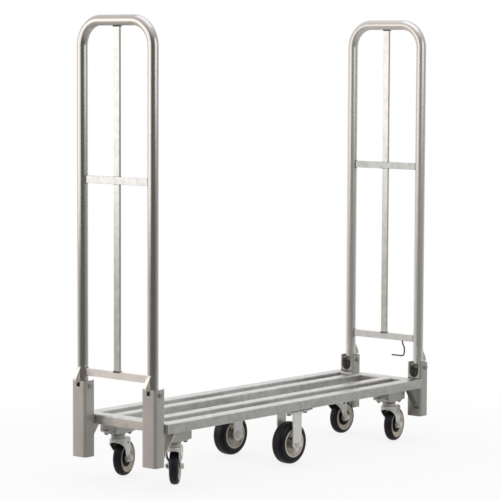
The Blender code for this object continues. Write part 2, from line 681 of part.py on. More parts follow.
def build_swivel_fork_mesh():
    """Stamped fork: a bent channel trimmed to its side view and plan, with the lower race on top."""
    half = FORK_GAP_WIDTH / 2
    outside = half + FORK_SHEET
    crown_half = FORK_CROWN_GAP_WIDTH / 2
    shoulder = crown_half + FORK_SHEET
    low = SWIVEL_WHEEL_RADIUS - FORK_BOSS_RADIUS - CUT_OVERRUN
    knee = FORK_TOP - FORK_KNEE_DROP
    upper_knee = FORK_TOP - FORK_SHOULDER_DROP
    bend = shoulder - FORK_BEND
    section = [(-outside, low), (-outside, knee), (-shoulder, upper_knee)]
    section += arc((-bend, FORK_TOP - FORK_BEND), FORK_BEND, 180, 90, 2)
    section += arc((bend, FORK_TOP - FORK_BEND), FORK_BEND, 90, 0, 2)
    section += [(shoulder, upper_knee), (outside, knee), (outside, low)]
    inner_bend = FORK_BEND - FORK_SHEET
    under = FORK_TOP - FORK_SHEET - inner_bend
    section += [(half, low), (half, knee), (crown_half, upper_knee)]
    section += arc((crown_half - inner_bend, under), inner_bend, 0, 90, 1)
    section += arc((-crown_half + inner_bend, under), inner_bend, 90, 180, 1)
    section += [(-crown_half, upper_knee), (-half, knee), (-half, low)]
    ahead = -FORK_FRONT - CUT_OVERRUN
    behind = TRAIL + FORK_BOSS_RADIUS + CUT_OVERRUN
    channel = prism("channel", section, ahead, behind, "X")

    crown = FORK_TOP - FORK_CROWN_DEPTH
    axle = (TRAIL, SWIVEL_WHEEL_RADIUS)
    boss = arc(axle, FORK_BOSS_RADIUS, 200, 395, CURVE_STEPS + 1)
    side = [(-FORK_FRONT, FORK_TOP + CUT_OVERRUN), (-FORK_FRONT, crown)]
    side += smooth_curve((-FORK_FRONT, crown), (FORK_FRONT_EASE, FORK_TOP - FORK_FRONT_EASE_DROP), boss[0])
    side += boss[1:]
    side += smooth_curve(boss[-1], (FORK_BACK_EASE, FORK_TOP - FORK_BACK_EASE_DROP), (FORK_BACK, crown))
    side.append((FORK_BACK, FORK_TOP + CUT_OVERRUN))
    reach = shoulder + CUT_OVERRUN
    wide = shoulder + SEAT_GAP
    nose = FORK_PLAN_ROUND - FORK_FRONT
    plan = arc((nose, wide - FORK_PLAN_ROUND), FORK_PLAN_ROUND, 90, 180, CURVE_STEPS)
    plan += arc((nose, FORK_PLAN_ROUND - wide), FORK_PLAN_ROUND, 180, 270, CURVE_STEPS)
    plan += [(behind, -wide), (behind, wide)]
    slot = [(u + FORK_SLOT_BEHIND, v + FORK_TOP - FORK_SLOT_DROP) for u, v in
            rounded_rectangle(FORK_SLOT_LENGTH, FORK_SLOT_HEIGHT, FORK_SLOT_HEIGHT / 3, 1)]

    race = turned("lower_race", [
        (RACE_LIP_RADIUS - RACE_SHEET, FORK_TOP - FORK_SHEET / 2),
        (RACE_LIP_RADIUS, FORK_TOP - FORK_SHEET / 2),
        (RACE_RADIUS, FORK_TOP + LOWER_RACE_HEIGHT / 2),
        (RACE_LIP_RADIUS, FORK_TOP + LOWER_RACE_HEIGHT),
        (RACE_LIP_RADIUS - RACE_SHEET, FORK_TOP + LOWER_RACE_HEIGHT)], "Z", RACE_STEPS)
    pin_hole = circle((0, 0), KINGPIN_DIAMETER / 2 + RUNNING_GAP, RACE_STEPS)
    axle_hole = circle(axle, AXLE_DIAMETER / 2 + SEAT_GAP)
    return combined("swivel_fork", channel, [
        ("INTERSECT", prism("side_view", side, -reach, reach, "Y")),
        ("INTERSECT", prism("plan_view", plan, low, FORK_TOP + CUT_OVERRUN, "Z")),
        ("UNION", race),
        ("DIFFERENCE", prism("pin_hole", pin_hole, FORK_TOP - 2 * FORK_SHEET, FORK_TOP + FORK_SHEET, "Z")),
        ("DIFFERENCE", prism("axle_hole", axle_hole, -reach, reach, "Y")),
        ("DIFFERENCE", prism("slot", slot, -reach, reach, "Y")),
    ])


def build_top_plate_mesh():
    """Top plate with the upper race cup and the kingpin, whose head holds the fork."""
    plate = prism("plate", rounded_rectangle(TOP_PLATE_LENGTH, TOP_PLATE_WIDTH, TOP_PLATE_CORNER),
                  PLATE_UNDERSIDE, PLATE_TOP, "Z")
    rim = PLATE_UNDERSIDE - UPPER_RACE_DEPTH
    pin = KINGPIN_DIAMETER / 2
    head = FORK_TOP - FORK_SHEET - RACE_GAP
    inside = RACE_LIP_RADIUS - RACE_SHEET
    cup = turned("upper_race", [
        (0, PLATE_UNDERSIDE + TOP_PLATE_THICKNESS / 2),
        (RACE_LIP_RADIUS, PLATE_UNDERSIDE + TOP_PLATE_THICKNESS / 2),
        (RACE_RADIUS, rim), (inside, rim),
        (inside, PLATE_UNDERSIDE - RACE_SHEET), (pin, PLATE_UNDERSIDE - RACE_SHEET), (pin, head),
        (KINGPIN_HEAD_DIAMETER / 2, head), (0, head - KINGPIN_HEAD_HEIGHT)], "Z", RACE_STEPS)
    return combined("top_plate", plate, [("UNION", cup)])


def build_axle_mesh(shank, guard, guard_place, guard_thickness, fork_outside, flats, head):
    """Axle bolt with its hexagon head and nut, and the thread guards on it."""
    outside = fork_outside + SEAT_GAP
    end = outside + head
    tip = end + shank / 2
    profile = [(0, -end + SEAT_GAP), (shank, -end + SEAT_GAP)]
    if guard:
        profile += [(shank, -guard_place - guard_thickness), (guard, -guard_place), (shank, -guard_place),
                    (shank, guard_place), (guard, guard_place), (shank, guard_place + guard_thickness)]
    profile += [(shank, tip), (0, tip)]
    bolt = turned("axle", profile, "Y", BOLT_STEPS)
    return combined("axle", bolt, [
        ("UNION", prism("head", hexagon(flats), *sorted((sign * outside, sign * end)), "Y"))
        for sign in (-1, 1)])


def build_swivel_casters():
    section, bore = tube_outlines(MOUNT_WIDTH, MOUNT_HEIGHT, MOUNT_CORNER, MOUNT_WALL, EDGE_STEPS)
    half = MOUNT_LENGTH / 2
    mount = hollow_tube("mount", section, bore, lambda u, v: -half, lambda u, v: half, "X")
    plate = build_top_plate_mesh()
    fork = build_swivel_fork_mesh()
    rim = SWIVEL_WHEEL_RADIUS - SWIVEL_TREAD_DEPTH
    tread = turned("tread", tread_profile(SWIVEL_WHEEL_RADIUS, SWIVEL_TREAD_WIDTH,
                                          SWIVEL_TREAD_DEPTH, SWIVEL_TREAD_ROUND), "Y", WHEEL_STEPS)
    shank = AXLE_DIAMETER / 2
    guard_place = FORK_GAP_WIDTH / 2 - SEAT_GAP - GUARD_THICKNESS
    boss_half = guard_place - SEAT_GAP
    hub = turned("hub", hub_profile(rim - SEAT_GAP, SWIVEL_TREAD_WIDTH / 2 - SEAT_GAP, HUB_LIP, HUB_RECESS,
                                    HUB_BOSS_RADIUS, boss_half, shank + SEAT_GAP), "Y", WHEEL_STEPS)
    axle = build_axle_mesh(shank, GUARD_RADIUS, guard_place, GUARD_THICKNESS,
                           FORK_GAP_WIDTH / 2 + FORK_SHEET, AXLE_HEAD_FLATS, AXLE_HEAD_HEIGHT)
    for end, outward in ENDS.items():
        for side, sign in SIDES.items():
            corner = f"{end}_{side}"
            place = (outward * SWIVEL_X, sign * SWIVEL_Y, 0)
            level = (place[0], place[1], DECK_UNDERSIDE - SEAT_GAP - MOUNT_HEIGHT / 2)
            add_piece("caster_mount_" + corner, mount, SATIN_ALUMINIUM, level)
            add_piece("top_plate_" + corner, plate, ZINC_STEEL, place)
            swivel = add_axis("swivel_axis_" + corner, place, turn=SWIVEL_REST_ANGLE[corner])
            add_piece("fork_" + corner, fork, ZINC_STEEL, parent=swivel)
            roll = add_axis("wheel_axis_" + corner, (TRAIL, 0, SWIVEL_WHEEL_RADIUS), parent=swivel)
            add_piece("axle_" + corner, axle, BOLT_STEEL, parent=roll)
            add_piece("tread_" + corner, tread, TREAD_RUBBER, parent=roll)
            add_piece("hub_" + corner, hub, HUB_PLASTIC, parent=roll)


def build_rigid_fork_mesh():
    """Fixed fork: a bent channel with round-ended legs under a flat top plate."""
    half = RIGID_GAP_WIDTH / 2
    outside = half + RIGID_SHEET
    top = RIGID_PLATE_TOP
    end = RIGID_WHEEL_RADIUS - RIGID_LEG_DROP
    low = end - CUT_OVERRUN
    section = [(-outside, low)] + arc((-outside + RIGID_BEND, top - RIGID_BEND), RIGID_BEND, 180, 90, 2)
    section += arc((outside - RIGID_BEND, top - RIGID_BEND), RIGID_BEND, 90, 0, 2) + [(outside, low)]
    section += [(half, low), (half, top - RIGID_SHEET), (-half, top - RIGID_SHEET), (-half, low)]
    leg = RIGID_LEG_WIDTH / 2
    wide = leg + RIGID_FLARE
    channel = prism("channel", section, -wide - CUT_OVERRUN, wide + CUT_OVERRUN, "X")
    neck = top - RIGID_SHEET - RIGID_FLARE
    across = leg - RIGID_LEG_CORNER
    side = arc((-across, end + RIGID_LEG_CORNER), RIGID_LEG_CORNER, 180, 270, CURVE_STEPS)
    side += arc((across, end + RIGID_LEG_CORNER), RIGID_LEG_CORNER, 270, 360, CURVE_STEPS) + [(leg, neck)]
    side += smooth_curve((leg, neck), (leg, neck + RIGID_FLARE / 2), (wide, top - RIGID_SHEET), 3)
    side += [(wide, top + CUT_OVERRUN), (-wide, top + CUT_OVERRUN), (-wide, top - RIGID_SHEET)]
    side += smooth_curve((-wide, top - RIGID_SHEET), (-leg, neck + RIGID_FLARE / 2), (-leg, neck), 3)
    reach = outside + CUT_OVERRUN
    plate = prism("plate", rounded_rectangle(RIGID_PLATE_LENGTH, RIGID_PLATE_WIDTH, RIGID_PLATE_CORNER),
                  top - RIGID_SHEET, top, "Z")
    axle_hole = circle((0, RIGID_WHEEL_RADIUS), RIGID_AXLE_DIAMETER / 2 + SEAT_GAP)
    return combined("rigid_fork", channel, [
        ("INTERSECT", prism("side_view", side, -reach, reach, "Y")),
        ("UNION", plate),
        ("DIFFERENCE", prism("axle_hole", axle_hole, -reach, reach, "Y")),
    ])


def build_rigid_casters():
    fork = build_rigid_fork_mesh()
    rim = RIGID_WHEEL_RADIUS - RIGID_TREAD_DEPTH
    tread = turned("tread", tread_profile(RIGID_WHEEL_RADIUS, RIGID_TREAD_WIDTH, RIGID_TREAD_DEPTH,
                                          RIGID_TREAD_ROUND), "Y", WHEEL_STEPS)
    shank = RIGID_AXLE_DIAMETER / 2
    boss_half = RIGID_GAP_WIDTH / 2 - RUNNING_GAP
    hub = turned("hub", hub_profile(rim - SEAT_GAP, RIGID_TREAD_WIDTH / 2 - SEAT_GAP, HUB_LIP,
                                    RIGID_HUB_RECESS, RIGID_HUB_BOSS_RADIUS, boss_half,
                                    shank + SEAT_GAP), "Y", WHEEL_STEPS)
    axle = build_axle_mesh(shank, None, 0, 0, RIGID_GAP_WIDTH / 2 + RIGID_SHEET, RIGID_NUT_FLATS,
                           RIGID_NUT_HEIGHT)
    for side, sign in SIDES.items():
        place = (0, sign * RIGID_Y, 0)
        add_piece("rigid_fork_" + side, fork, ZINC_STEEL, place)
        roll = add_axis("rigid_axis_" + side, (0, sign * RIGID_Y, RIGID_WHEEL_RADIUS))
        add_piece("rigid_axle_" + side, axle, BOLT_STEEL, parent=roll)
        add_piece("rigid_tread_" + side, tread, TREAD_RUBBER, parent=roll)
        add_piece("rigid_hub_" + side, hub, RIM_METAL, parent=roll)


for leftover in list(bpy.data.objects):
    bpy.data.objects.remove(leftover)
build_deck()
build_posts()
build_uprights()
build_swivel_casters()
build_rigid_casters()
bpy.context.view_layer.update()
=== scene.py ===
import math

import bmesh
import bpy
from mathutils import Matrix, Vector


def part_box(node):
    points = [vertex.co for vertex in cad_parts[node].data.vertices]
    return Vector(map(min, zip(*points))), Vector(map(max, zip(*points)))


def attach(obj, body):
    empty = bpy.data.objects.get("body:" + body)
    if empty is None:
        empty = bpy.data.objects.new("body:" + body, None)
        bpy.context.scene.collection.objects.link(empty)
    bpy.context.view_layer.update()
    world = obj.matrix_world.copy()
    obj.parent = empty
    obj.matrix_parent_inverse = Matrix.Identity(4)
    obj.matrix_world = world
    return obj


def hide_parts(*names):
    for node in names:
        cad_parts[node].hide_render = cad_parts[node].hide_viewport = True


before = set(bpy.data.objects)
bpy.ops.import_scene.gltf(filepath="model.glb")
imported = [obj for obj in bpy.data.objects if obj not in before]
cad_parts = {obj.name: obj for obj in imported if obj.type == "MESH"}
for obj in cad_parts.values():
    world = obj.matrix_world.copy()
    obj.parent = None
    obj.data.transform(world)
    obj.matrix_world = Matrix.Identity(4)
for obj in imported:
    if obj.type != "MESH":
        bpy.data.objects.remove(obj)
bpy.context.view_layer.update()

# Deck rails: four lengths of extruded aluminium tube, mitred at the corners of the deck and
# welded to a flat frame. The saw cuts are deburred, and the die leaves faint streaks along each tube.
SIDES = {"front": -1, "rear": 1}
ENDS = {"left": -1, "right": 1}
RAIL_CORNER = 0.004
RAIL_WALL = 0.003
CORNER_STEPS = 7
DEBURR = 0.0005
SMOOTH_ANGLE = math.radians(32)
SAME_PLACE = 1e-6
SCRATCHES = 0.2
RUBBED_GAIN = 1.18
DECK_LIGHT = (0.70, 0.70, 0.69)
DECK_DARK = (0.60, 0.595, 0.585)


def arc(centre, radius, start, end, steps):
    """Points on an arc between two angles in degrees, both ends included."""
    angles = [math.radians(start + (end - start) * step / steps) for step in range(steps + 1)]
    return [(centre[0] + radius * math.cos(angle), centre[1] + radius * math.sin(angle)) for angle in angles]


def rounded_rectangle(width, height, radius, steps):
    """Closed outline round zero, anticlockwise from the right-hand side."""
    across, up = width / 2 - radius, height / 2 - radius
    quarters = ((1, 1, 0), (-1, 1, 90), (-1, -1, 180), (1, -1, 270))
    return [point for sx, sy, start in quarters
            for point in arc((sx * across, sy * up), radius, start, start + 90, steps)]


def along(axis, u, v, w):
    """Point whose outline coordinates are u and v, at w on the named axis."""
    return Vector({"X": (w, u, v), "Y": (u, w, v), "Z": (u, v, w)}[axis])


def skin(bm, rings, around=False):
    """Faces from each ring of points to the next, and from the last to the first if it goes around."""
    faces = []
    for first, second in zip(rings, rings[1:] + rings[:1] * around):
        for index in range(len(first)):
            after = (index + 1) % len(first)
            faces.append(bm.faces.new((first[index], first[after], second[after], second[index])))
    return faces


def add_tube(bm, width, height, corner, wall, low, high, axis, centre, mitre=0, steps=CORNER_STEPS):
    """Open rectangular tube between two places on an axis. mitre, -1 or 1, is its long side, where the
    ends are cut at 45 degrees."""
    rings = []
    for inset, end, back in ((0, low, 1), (0, high, -1), (wall, high, -1), (wall, low, 1)):
        outline = rounded_rectangle(width - 2 * inset, height - 2 * inset, corner - inset, steps)
        setbacks = [width / 2 - mitre * u if mitre else 0 for u, v in outline]
        rings.append([bm.verts.new(along(axis, u, v, end + back * setback) + centre)
                      for (u, v), setback in zip(outline, setbacks)])
    skin(bm, rings, around=True)


def as_mesh(bm, name):
    """Mesh of a bmesh, with its faces pointing out."""
    bmesh.ops.recalc_face_normals(bm, faces=bm.faces)
    mesh = bpy.data.meshes.new(name)
    bm.to_mesh(mesh)
    bm.free()
    return mesh


def shaded(mesh, name, material, break_width=0.0, angle=SMOOTH_ANGLE):
    """Object with a mesh, smooth shading and, if a width is given, its sharp edges broken."""
    mesh.shade_smooth()
    mesh.set_sharp_from_angle(angle=angle)
    mesh.materials.clear()
    mesh.materials.append(material)
    piece = bpy.data.objects.new(name, mesh)
    bpy.context.scene.collection.objects.link(piece)
    if break_width:
        bevel = piece.modifiers.new("edge_break", "BEVEL")
        bevel.width = break_width
        bevel.segments = 2
        bevel.limit_method = "ANGLE"
        bevel.angle_limit = angle
        bevel.harden_normals = True
    return piece


def finished(bm, name, material, break_width=0.0, angle=SMOOTH_ANGLE):
    """Turn a bmesh into a shaded object."""
    bmesh.ops.remove_doubles(bm, verts=bm.verts, dist=SAME_PLACE)
    return shaded(as_mesh(bm, name), name, material, break_width, angle)


def fit(piece, body, slot, *nodes):
    """Fix a piece to a body and hide the plain solids that it stands for; slot is not used."""
    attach(piece, body)
    if nodes:
        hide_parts(*nodes)


def measured(node):
    """Low and high corners, size and centre of a plain solid."""
    low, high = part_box(node)
    return low, high, high - low, (low + high) / 2


def add_node(tree, kind, column, row, inputs=None, **settings):
    """Add a shader node at a place in the layout; its inputs are values, or sockets to link."""
    node = tree.nodes.new(kind)
    node.location = (column * 200, -row * 240)
    for key, value in settings.items():
        setattr(node, key, value)
    for key, value in (inputs or {}).items():
        if isinstance(value, bpy.types.NodeSocket):
            tree.links.new(value, node.inputs[key])
        else:
            node.inputs[key].default_value = value
    return node


def maths(tree, column, row, operation, first, second, clamp=False):
    """Sum, product or other result of two numbers."""
    return add_node(tree, "ShaderNodeMath", column, row, {0: first, 1: second}, operation=operation,
                    use_clamp=clamp).outputs[0]


def mapped(tree, column, row, value, low=0.0, high=1.0, start=0.0, stop=1.0, smooth=False):
    """Number that goes from start to stop while a value goes from low to high."""
    return add_node(tree, "ShaderNodeMapRange", column, row, {
        "Value": value, "From Min": low, "From Max": high, "To Min": start, "To Max": stop},
        interpolation_type="SMOOTHSTEP" if smooth else "LINEAR").outputs["Result"]


def mixed(tree, column, row, share, first, second):
    """Colour between two others, each of which is a socket or its three parts."""
    first, second = ((*colour, 1) if isinstance(colour, tuple) else colour for colour in (first, second))
    return add_node(tree, "ShaderNodeMix", column, row, data_type="RGBA", inputs={
        "Factor": share, 6: first, 7: second}).outputs[2]


def noise(tree, column, row, vector, scale, detail, roughness=0.5, distortion=0.0):
    """Cloudy noise from 0 to 1."""
    return add_node(tree, "ShaderNodeTexNoise", column, row, {
        "Vector": vector, "Scale": scale, "Detail": detail, "Roughness": roughness,
        "Distortion": distortion}).outputs["Fac"]


def shader_group(name, inputs, outputs):
    """Node group with named inputs and outputs, and the sockets of what it is given."""
    tree = bpy.data.node_groups.new(name, "ShaderNodeTree")
    for label, value in inputs.items():
        kind = "NodeSocketFloat" if isinstance(value, float) else "NodeSocketVector"
        tree.interface.new_socket(label, in_out="INPUT", socket_type=kind).default_value = value
    for label in outputs:
        tree.interface.new_socket(label, in_out="OUTPUT", socket_type="NodeSocketFloat")
    return tree, tree.nodes.new("NodeGroupInput").outputs


def make_drawn_grain():
    """Fine streaks along the run of a drawn or rolled bar, cloudy patches of handling and hair scratches."""
    tree, given = shader_group("drawn_grain", {
        "Vector": (0, 0, 0), "Run": (1, 1, 1), "Cloud Size": 0.12, "Streaks": 0.5, "Clouds": 0.5,
        "Scratches": 0.3}, ("Tone", "Dull", "Height"))
    stretched = add_node(tree, "ShaderNodeVectorMath", 1, 0, {0: given["Vector"], 1: given["Run"]},
                         operation="MULTIPLY").outputs[0]
    streak = noise(tree, 2, 0, stretched, 1.0, 5.0, roughness=0.62)
    cloud_scale = maths(tree, 1, 1, "DIVIDE", 1.0, given["Cloud Size"])
    cloud = noise(tree, 2, 1, given["Vector"], cloud_scale, 4.0, roughness=0.58, distortion=0.4)
    hair = noise(tree, 2, 2, stretched, 2.7, 2.0, distortion=1.5)
    streaks = maths(tree, 4, 0, "MULTIPLY", maths(tree, 3, 0, "SUBTRACT", streak, 0.5), given["Streaks"])
    clouds = maths(tree, 4, 1, "MULTIPLY", maths(tree, 3, 1, "SUBTRACT", cloud, 0.5), given["Clouds"])
    scratch = maths(tree, 4, 2, "MULTIPLY", mapped(tree, 3, 2, hair, 0.66, 0.72), given["Scratches"])
    tone = maths(tree, 6, 0, "ADD", maths(tree, 5, 0, "ADD", streaks, clouds), 0.5, clamp=True)
    add_node(tree, "NodeGroupOutput", 8, 0, {
        "Tone": maths(tree, 7, 0, "ADD", tone, scratch, clamp=True),
        "Dull": maths(tree, 7, 1, "ADD", 0.5, clouds, clamp=True),
        "Height": maths(tree, 7, 2, "SUBTRACT", streaks, scratch)})
    return tree


def make_edge_rub():
    """Mask of the edges and corners that handling has rubbed bright, broken up so that it is not a line."""
    tree, given = shader_group("edge_rub", {
        "Vector": (0, 0, 0), "Sharpness": 0.53, "Amount": 0.6}, ("Rub",))
    pointed = add_node(tree, "ShaderNodeNewGeometry", 1, 0).outputs["Pointiness"]
    wide = maths(tree, 2, 1, "ADD", given["Sharpness"], 0.05)
    edge = mapped(tree, 3, 0, pointed, given["Sharpness"], wide, smooth=True)
    broken = mapped(tree, 3, 2, noise(tree, 2, 2, given["Vector"], 38.0, 3.0), 0.38, 0.60)
    part = maths(tree, 4, 1, "MULTIPLY", edge, broken)
    add_node(tree, "NodeGroupOutput", 6, 0, {
        "Rub": maths(tree, 5, 1, "MULTIPLY", part, given["Amount"], clamp=True)})
    return tree


drawn_grain = make_drawn_grain()
edge_rub = make_edge_rub()


def new_material(name, **plain):
    """Material with a Principled shader, some of whose inputs are set to plain values."""
    material = bpy.data.materials.new(name)
    material.use_nodes = True
    for label, value in plain.items():
        material.node_tree.nodes["Principled BSDF"].inputs[label.replace("_", " ")].default_value = value
    return material, material.node_tree


def surface_vector(tree, uv_map=None):
    """Coordinates fixed to the piece, shifted for each copy so that no two are marked alike."""
    if uv_map:
        place = add_node(tree, "ShaderNodeUVMap", -6, 0, uv_map=uv_map).outputs["UV"]
    else:
        place = add_node(tree, "ShaderNodeTexCoord", -6, 0).outputs["Object"]
    copy = add_node(tree, "ShaderNodeObjectInfo", -6, 1)
    return add_node(tree, "ShaderNodeVectorMath", -5, 0, {0: place, 1: copy.outputs["Random"]},
                    operation="ADD").outputs[0]


def dress(tree, colour, dull, smooth, rough, height, bump):
    """Give the material's shader its colour, a roughness from smooth to rough and a fine relief."""
    shader = tree.nodes["Principled BSDF"].inputs
    relief = add_node(tree, "ShaderNodeBump", -2, 2, {"Height": height, "Strength": 1.0, "Distance": bump})
    tree.links.new(colour, shader["Base Color"])
    tree.links.new(mapped(tree, -3, 1, dull, start=smooth, stop=rough), shader["Roughness"])
    tree.links.new(relief.outputs["Normal"], shader["Normal"])


def metal(name, light, dark, smooth, rough, run, uv_map=None, clouds=0.45, streaks=0.55, cloud_size=0.12,
          rub=0.6, bump=0.00003, shine=1.0):
    """Bare metal whose grain follows the run of the bar. Less shine leaves a paler, duller plating."""
    material, tree = new_material(name, Metallic=shine)
    vector = surface_vector(tree, uv_map)
    grain = add_node(tree, "ShaderNodeGroup", -4, 0, node_tree=drawn_grain, inputs={
        "Vector": vector, "Run": run, "Cloud Size": cloud_size, "Streaks": streaks, "Clouds": clouds,
        "Scratches": SCRATCHES}).outputs
    rubbed = add_node(tree, "ShaderNodeGroup", -4, 1, node_tree=edge_rub, inputs={
        "Vector": vector, "Amount": rub}).outputs["Rub"]
    colour = mixed(tree, -3, 0, grain["Tone"], dark, light)
    bright = tuple(min(1, RUBBED_GAIN * part) for part in light)
    worn = mixed(tree, -2, 0, rubbed, colour, bright)
    dress(tree, worn, grain["Dull"], smooth, rough, grain["Height"], bump)
    return material


def run_along(axis, along_size=0.45, across_size=0.0016):
    """Grain stretched along an axis: how many noise cells there are in a metre, each way."""
    return tuple(1 / along_size if letter == axis else 1 / across_size for letter in "XYZ")


def deck_tube(node, axis, metal_along, mitre=0):
    """Rail or slat in the box of its plain solid."""
    low, high, size, centre = measured(node)
    width, length = (size.y, size.x) if axis == "X" else (size.x, size.y)
    bm = bmesh.new()
    add_tube(bm, width, size.z, RAIL_CORNER, RAIL_WALL, -length / 2, length / 2, axis, centre, mitre)
    fit(finished(bm, node + "_tube", metal_along), "deck", "deck_aluminium", node)


rail_along_x = metal("deck_aluminium_lengthwise", DECK_LIGHT, DECK_DARK, 0.26, 0.40, run_along("X"))
rail_along_y = metal("deck_aluminium_crosswise", DECK_LIGHT, DECK_DARK, 0.26, 0.40, run_along("Y"))
for side, sign in SIDES.items():
    deck_tube("side_rail_" + side, "X", rail_along_x, sign)
for end, sign in ENDS.items():
    deck_tube("end_rail_" + end, "Y", rail_along_y, sign)

# Slats: two narrower tubes of the same extrusion, laid between the end rails so that the top of the
# deck is one level with three long gaps.
for side in SIDES:
    deck_tube("slat_" + side, "X", rail_along_x)

# Cross plate: a flat aluminium plate under the middle of the deck, welded to the rails and slats.
# The two rigid casters are bolted to it.
PLATE_CORNER = 0.004
PLATE_EDGE_BREAK = 0.0006


def add_prism(bm, outline, low, high, axis, matrix=Matrix()):
    """Solid whose outline is drawn across an axis, between two places on it."""
    rings = [[bm.verts.new(matrix @ along(axis, u, v, w)) for u, v in outline] for w in (low, high)]
    skin(bm, rings)
    bm.faces.new(rings[0][::-1])
    bm.faces.new(rings[1])


plate_metal = metal("mill_plate", (0.70, 0.69, 0.675), (0.58, 0.57, 0.555), 0.32, 0.46, run_along("Y"))
low, high, size, centre = measured("cross_plate_middle")
bm = bmesh.new()
add_prism(bm, rounded_rectangle(size.x, size.y, PLATE_CORNER, 4), low.z, high.z, "Z",
          Matrix.Translation((centre.x, centre.y, 0)))
fit(finished(bm, "cross_plate_bar", plate_metal, PLATE_EDGE_BREAK), "deck", "satin_aluminium",
    "cross_plate_middle")

# Posts: thick rectangular aluminium tube with large round corners, welded upright on the ends of the
# deck. Each has a U-shaped notch towards the deck that the folding leg swings through, a small window
# in the outer wall and a cross hole for the hinge bolt.
POST_CORNER = 0.0115
POST_WALL = 0.003
POST_DEPTH = 0.0508
POST_WIDTH = 0.065
POST_CORNER_STEPS = 10
NOTCH_WIDTH = 0.042
NOTCH_DEPTH = 0.057
NOTCH_STEPS = 28
WINDOW_WIDTH = 0.016
WINDOW_HEIGHT = 0.017
WINDOW_DROP = 0.004
PIVOT_DROP = 0.017
BOLT_HOLE = 0.0106
CUT_OVERRUN = 0.004
HOLE_SIDES = 30
POST_SHINE = 0.68


def circle(radius, sides, centre=(0, 0)):
    """Closed outline of a round hole or bar."""
    return arc(centre, radius, 0, 360 - 360 / sides, sides - 1)


def cut_mesh(name, base, steps):
    """Join, cut or intersect a mesh with others, one after the other."""
    body = bpy.data.objects.new(name, base)
    bpy.context.scene.collection.objects.link(body)
    tools = []
    for operation, mesh in steps:
        tool = bpy.data.objects.new(name + "_tool", mesh)
        bpy.context.scene.collection.objects.link(tool)
        modifier = body.modifiers.new(operation, "BOOLEAN")
        modifier.operation = operation
        modifier.object = tool
        tools.append(tool)
    bpy.context.view_layer.update()
    result = bpy.data.meshes.new_from_object(body.evaluated_get(bpy.context.evaluated_depsgraph_get()))
    result.name = name
    for scrap in tools + [body]:
        bpy.data.objects.remove(scrap)
    return result


def prism_mesh(outline, low, high, axis, matrix=Matrix()):
    bm = bmesh.new()
    add_prism(bm, outline, low, high, axis, matrix)
    return as_mesh(bm, "prism")


def centre_of(node):
    return measured(node)[3]


post_metal = metal("post_aluminium", (0.63, 0.615, 0.59), (0.49, 0.48, 0.46), 0.34, 0.48, run_along("Z"),
                   clouds=0.9, streaks=0.9, shine=POST_SHINE)
post_places = {}
for end, outward in ENDS.items():
    for side in SIDES:
        name = f"post_{end}_{side}"
        low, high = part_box(name)
        pivot = centre_of(f"pivot_bolt_{end}_{side}")
        top = high.z
        outer_x = high.x if outward > 0 else low.x
        centre = Vector((outer_x - outward * POST_DEPTH / 2, pivot.y, 0))
        post_places[end, side] = (centre, top, pivot)
        here = Matrix.Translation(centre)
        bm = bmesh.new()
        add_tube(bm, POST_DEPTH, POST_WIDTH, POST_CORNER, POST_WALL, low.z, top, "Z", centre,
                 steps=POST_CORNER_STEPS)
        half = NOTCH_WIDTH / 2
        notch = arc((0, top - NOTCH_DEPTH + half), half, 180, 360, NOTCH_STEPS)
        notch += [(half, top + CUT_OVERRUN), (-half, top + CUT_OVERRUN)]
        window_level = top - WINDOW_DROP - WINDOW_HEIGHT / 2
        window = [(u, v + window_level) for u, v in
                  rounded_rectangle(WINDOW_WIDTH, WINDOW_HEIGHT, WINDOW_HEIGHT / 5, 5)]
        hole = [(u + pivot.x - centre.x, v + pivot.z) for u, v in circle(BOLT_HOLE / 2, HOLE_SIDES)]
        wall = POST_DEPTH / 2 + CUT_OVERRUN
        reach = POST_WIDTH / 2 + CUT_OVERRUN
        mesh = cut_mesh(name, as_mesh(bm, name), [
            ("DIFFERENCE", prism_mesh(notch, *sorted((0, -outward * wall)), "X", here)),
            ("DIFFERENCE", prism_mesh(window, *sorted((0, outward * wall)), "X", here)),
            ("DIFFERENCE", prism_mesh(hole, -reach, reach, "Y", here))])
        fit(shaded(mesh, name + "_tube", post_metal, DEBURR), "deck", "satin_aluminium", name)

# Braces: a sloped strap with a triangular web along one edge, folded from aluminium sheet and welded
# between the foot of each post and the underside of the deck.
BRACE_REACH = 0.058
BRACE_DROP = 0.079
BRACE_WIDTH = 0.027
BRACE_SHEET = 0.004
BRACE_INSET = 0.005
BRACE_EDGE_BREAK = 0.0008
SEAT_GAP = 0.0003
deck_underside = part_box("side_rail_front")[0].z
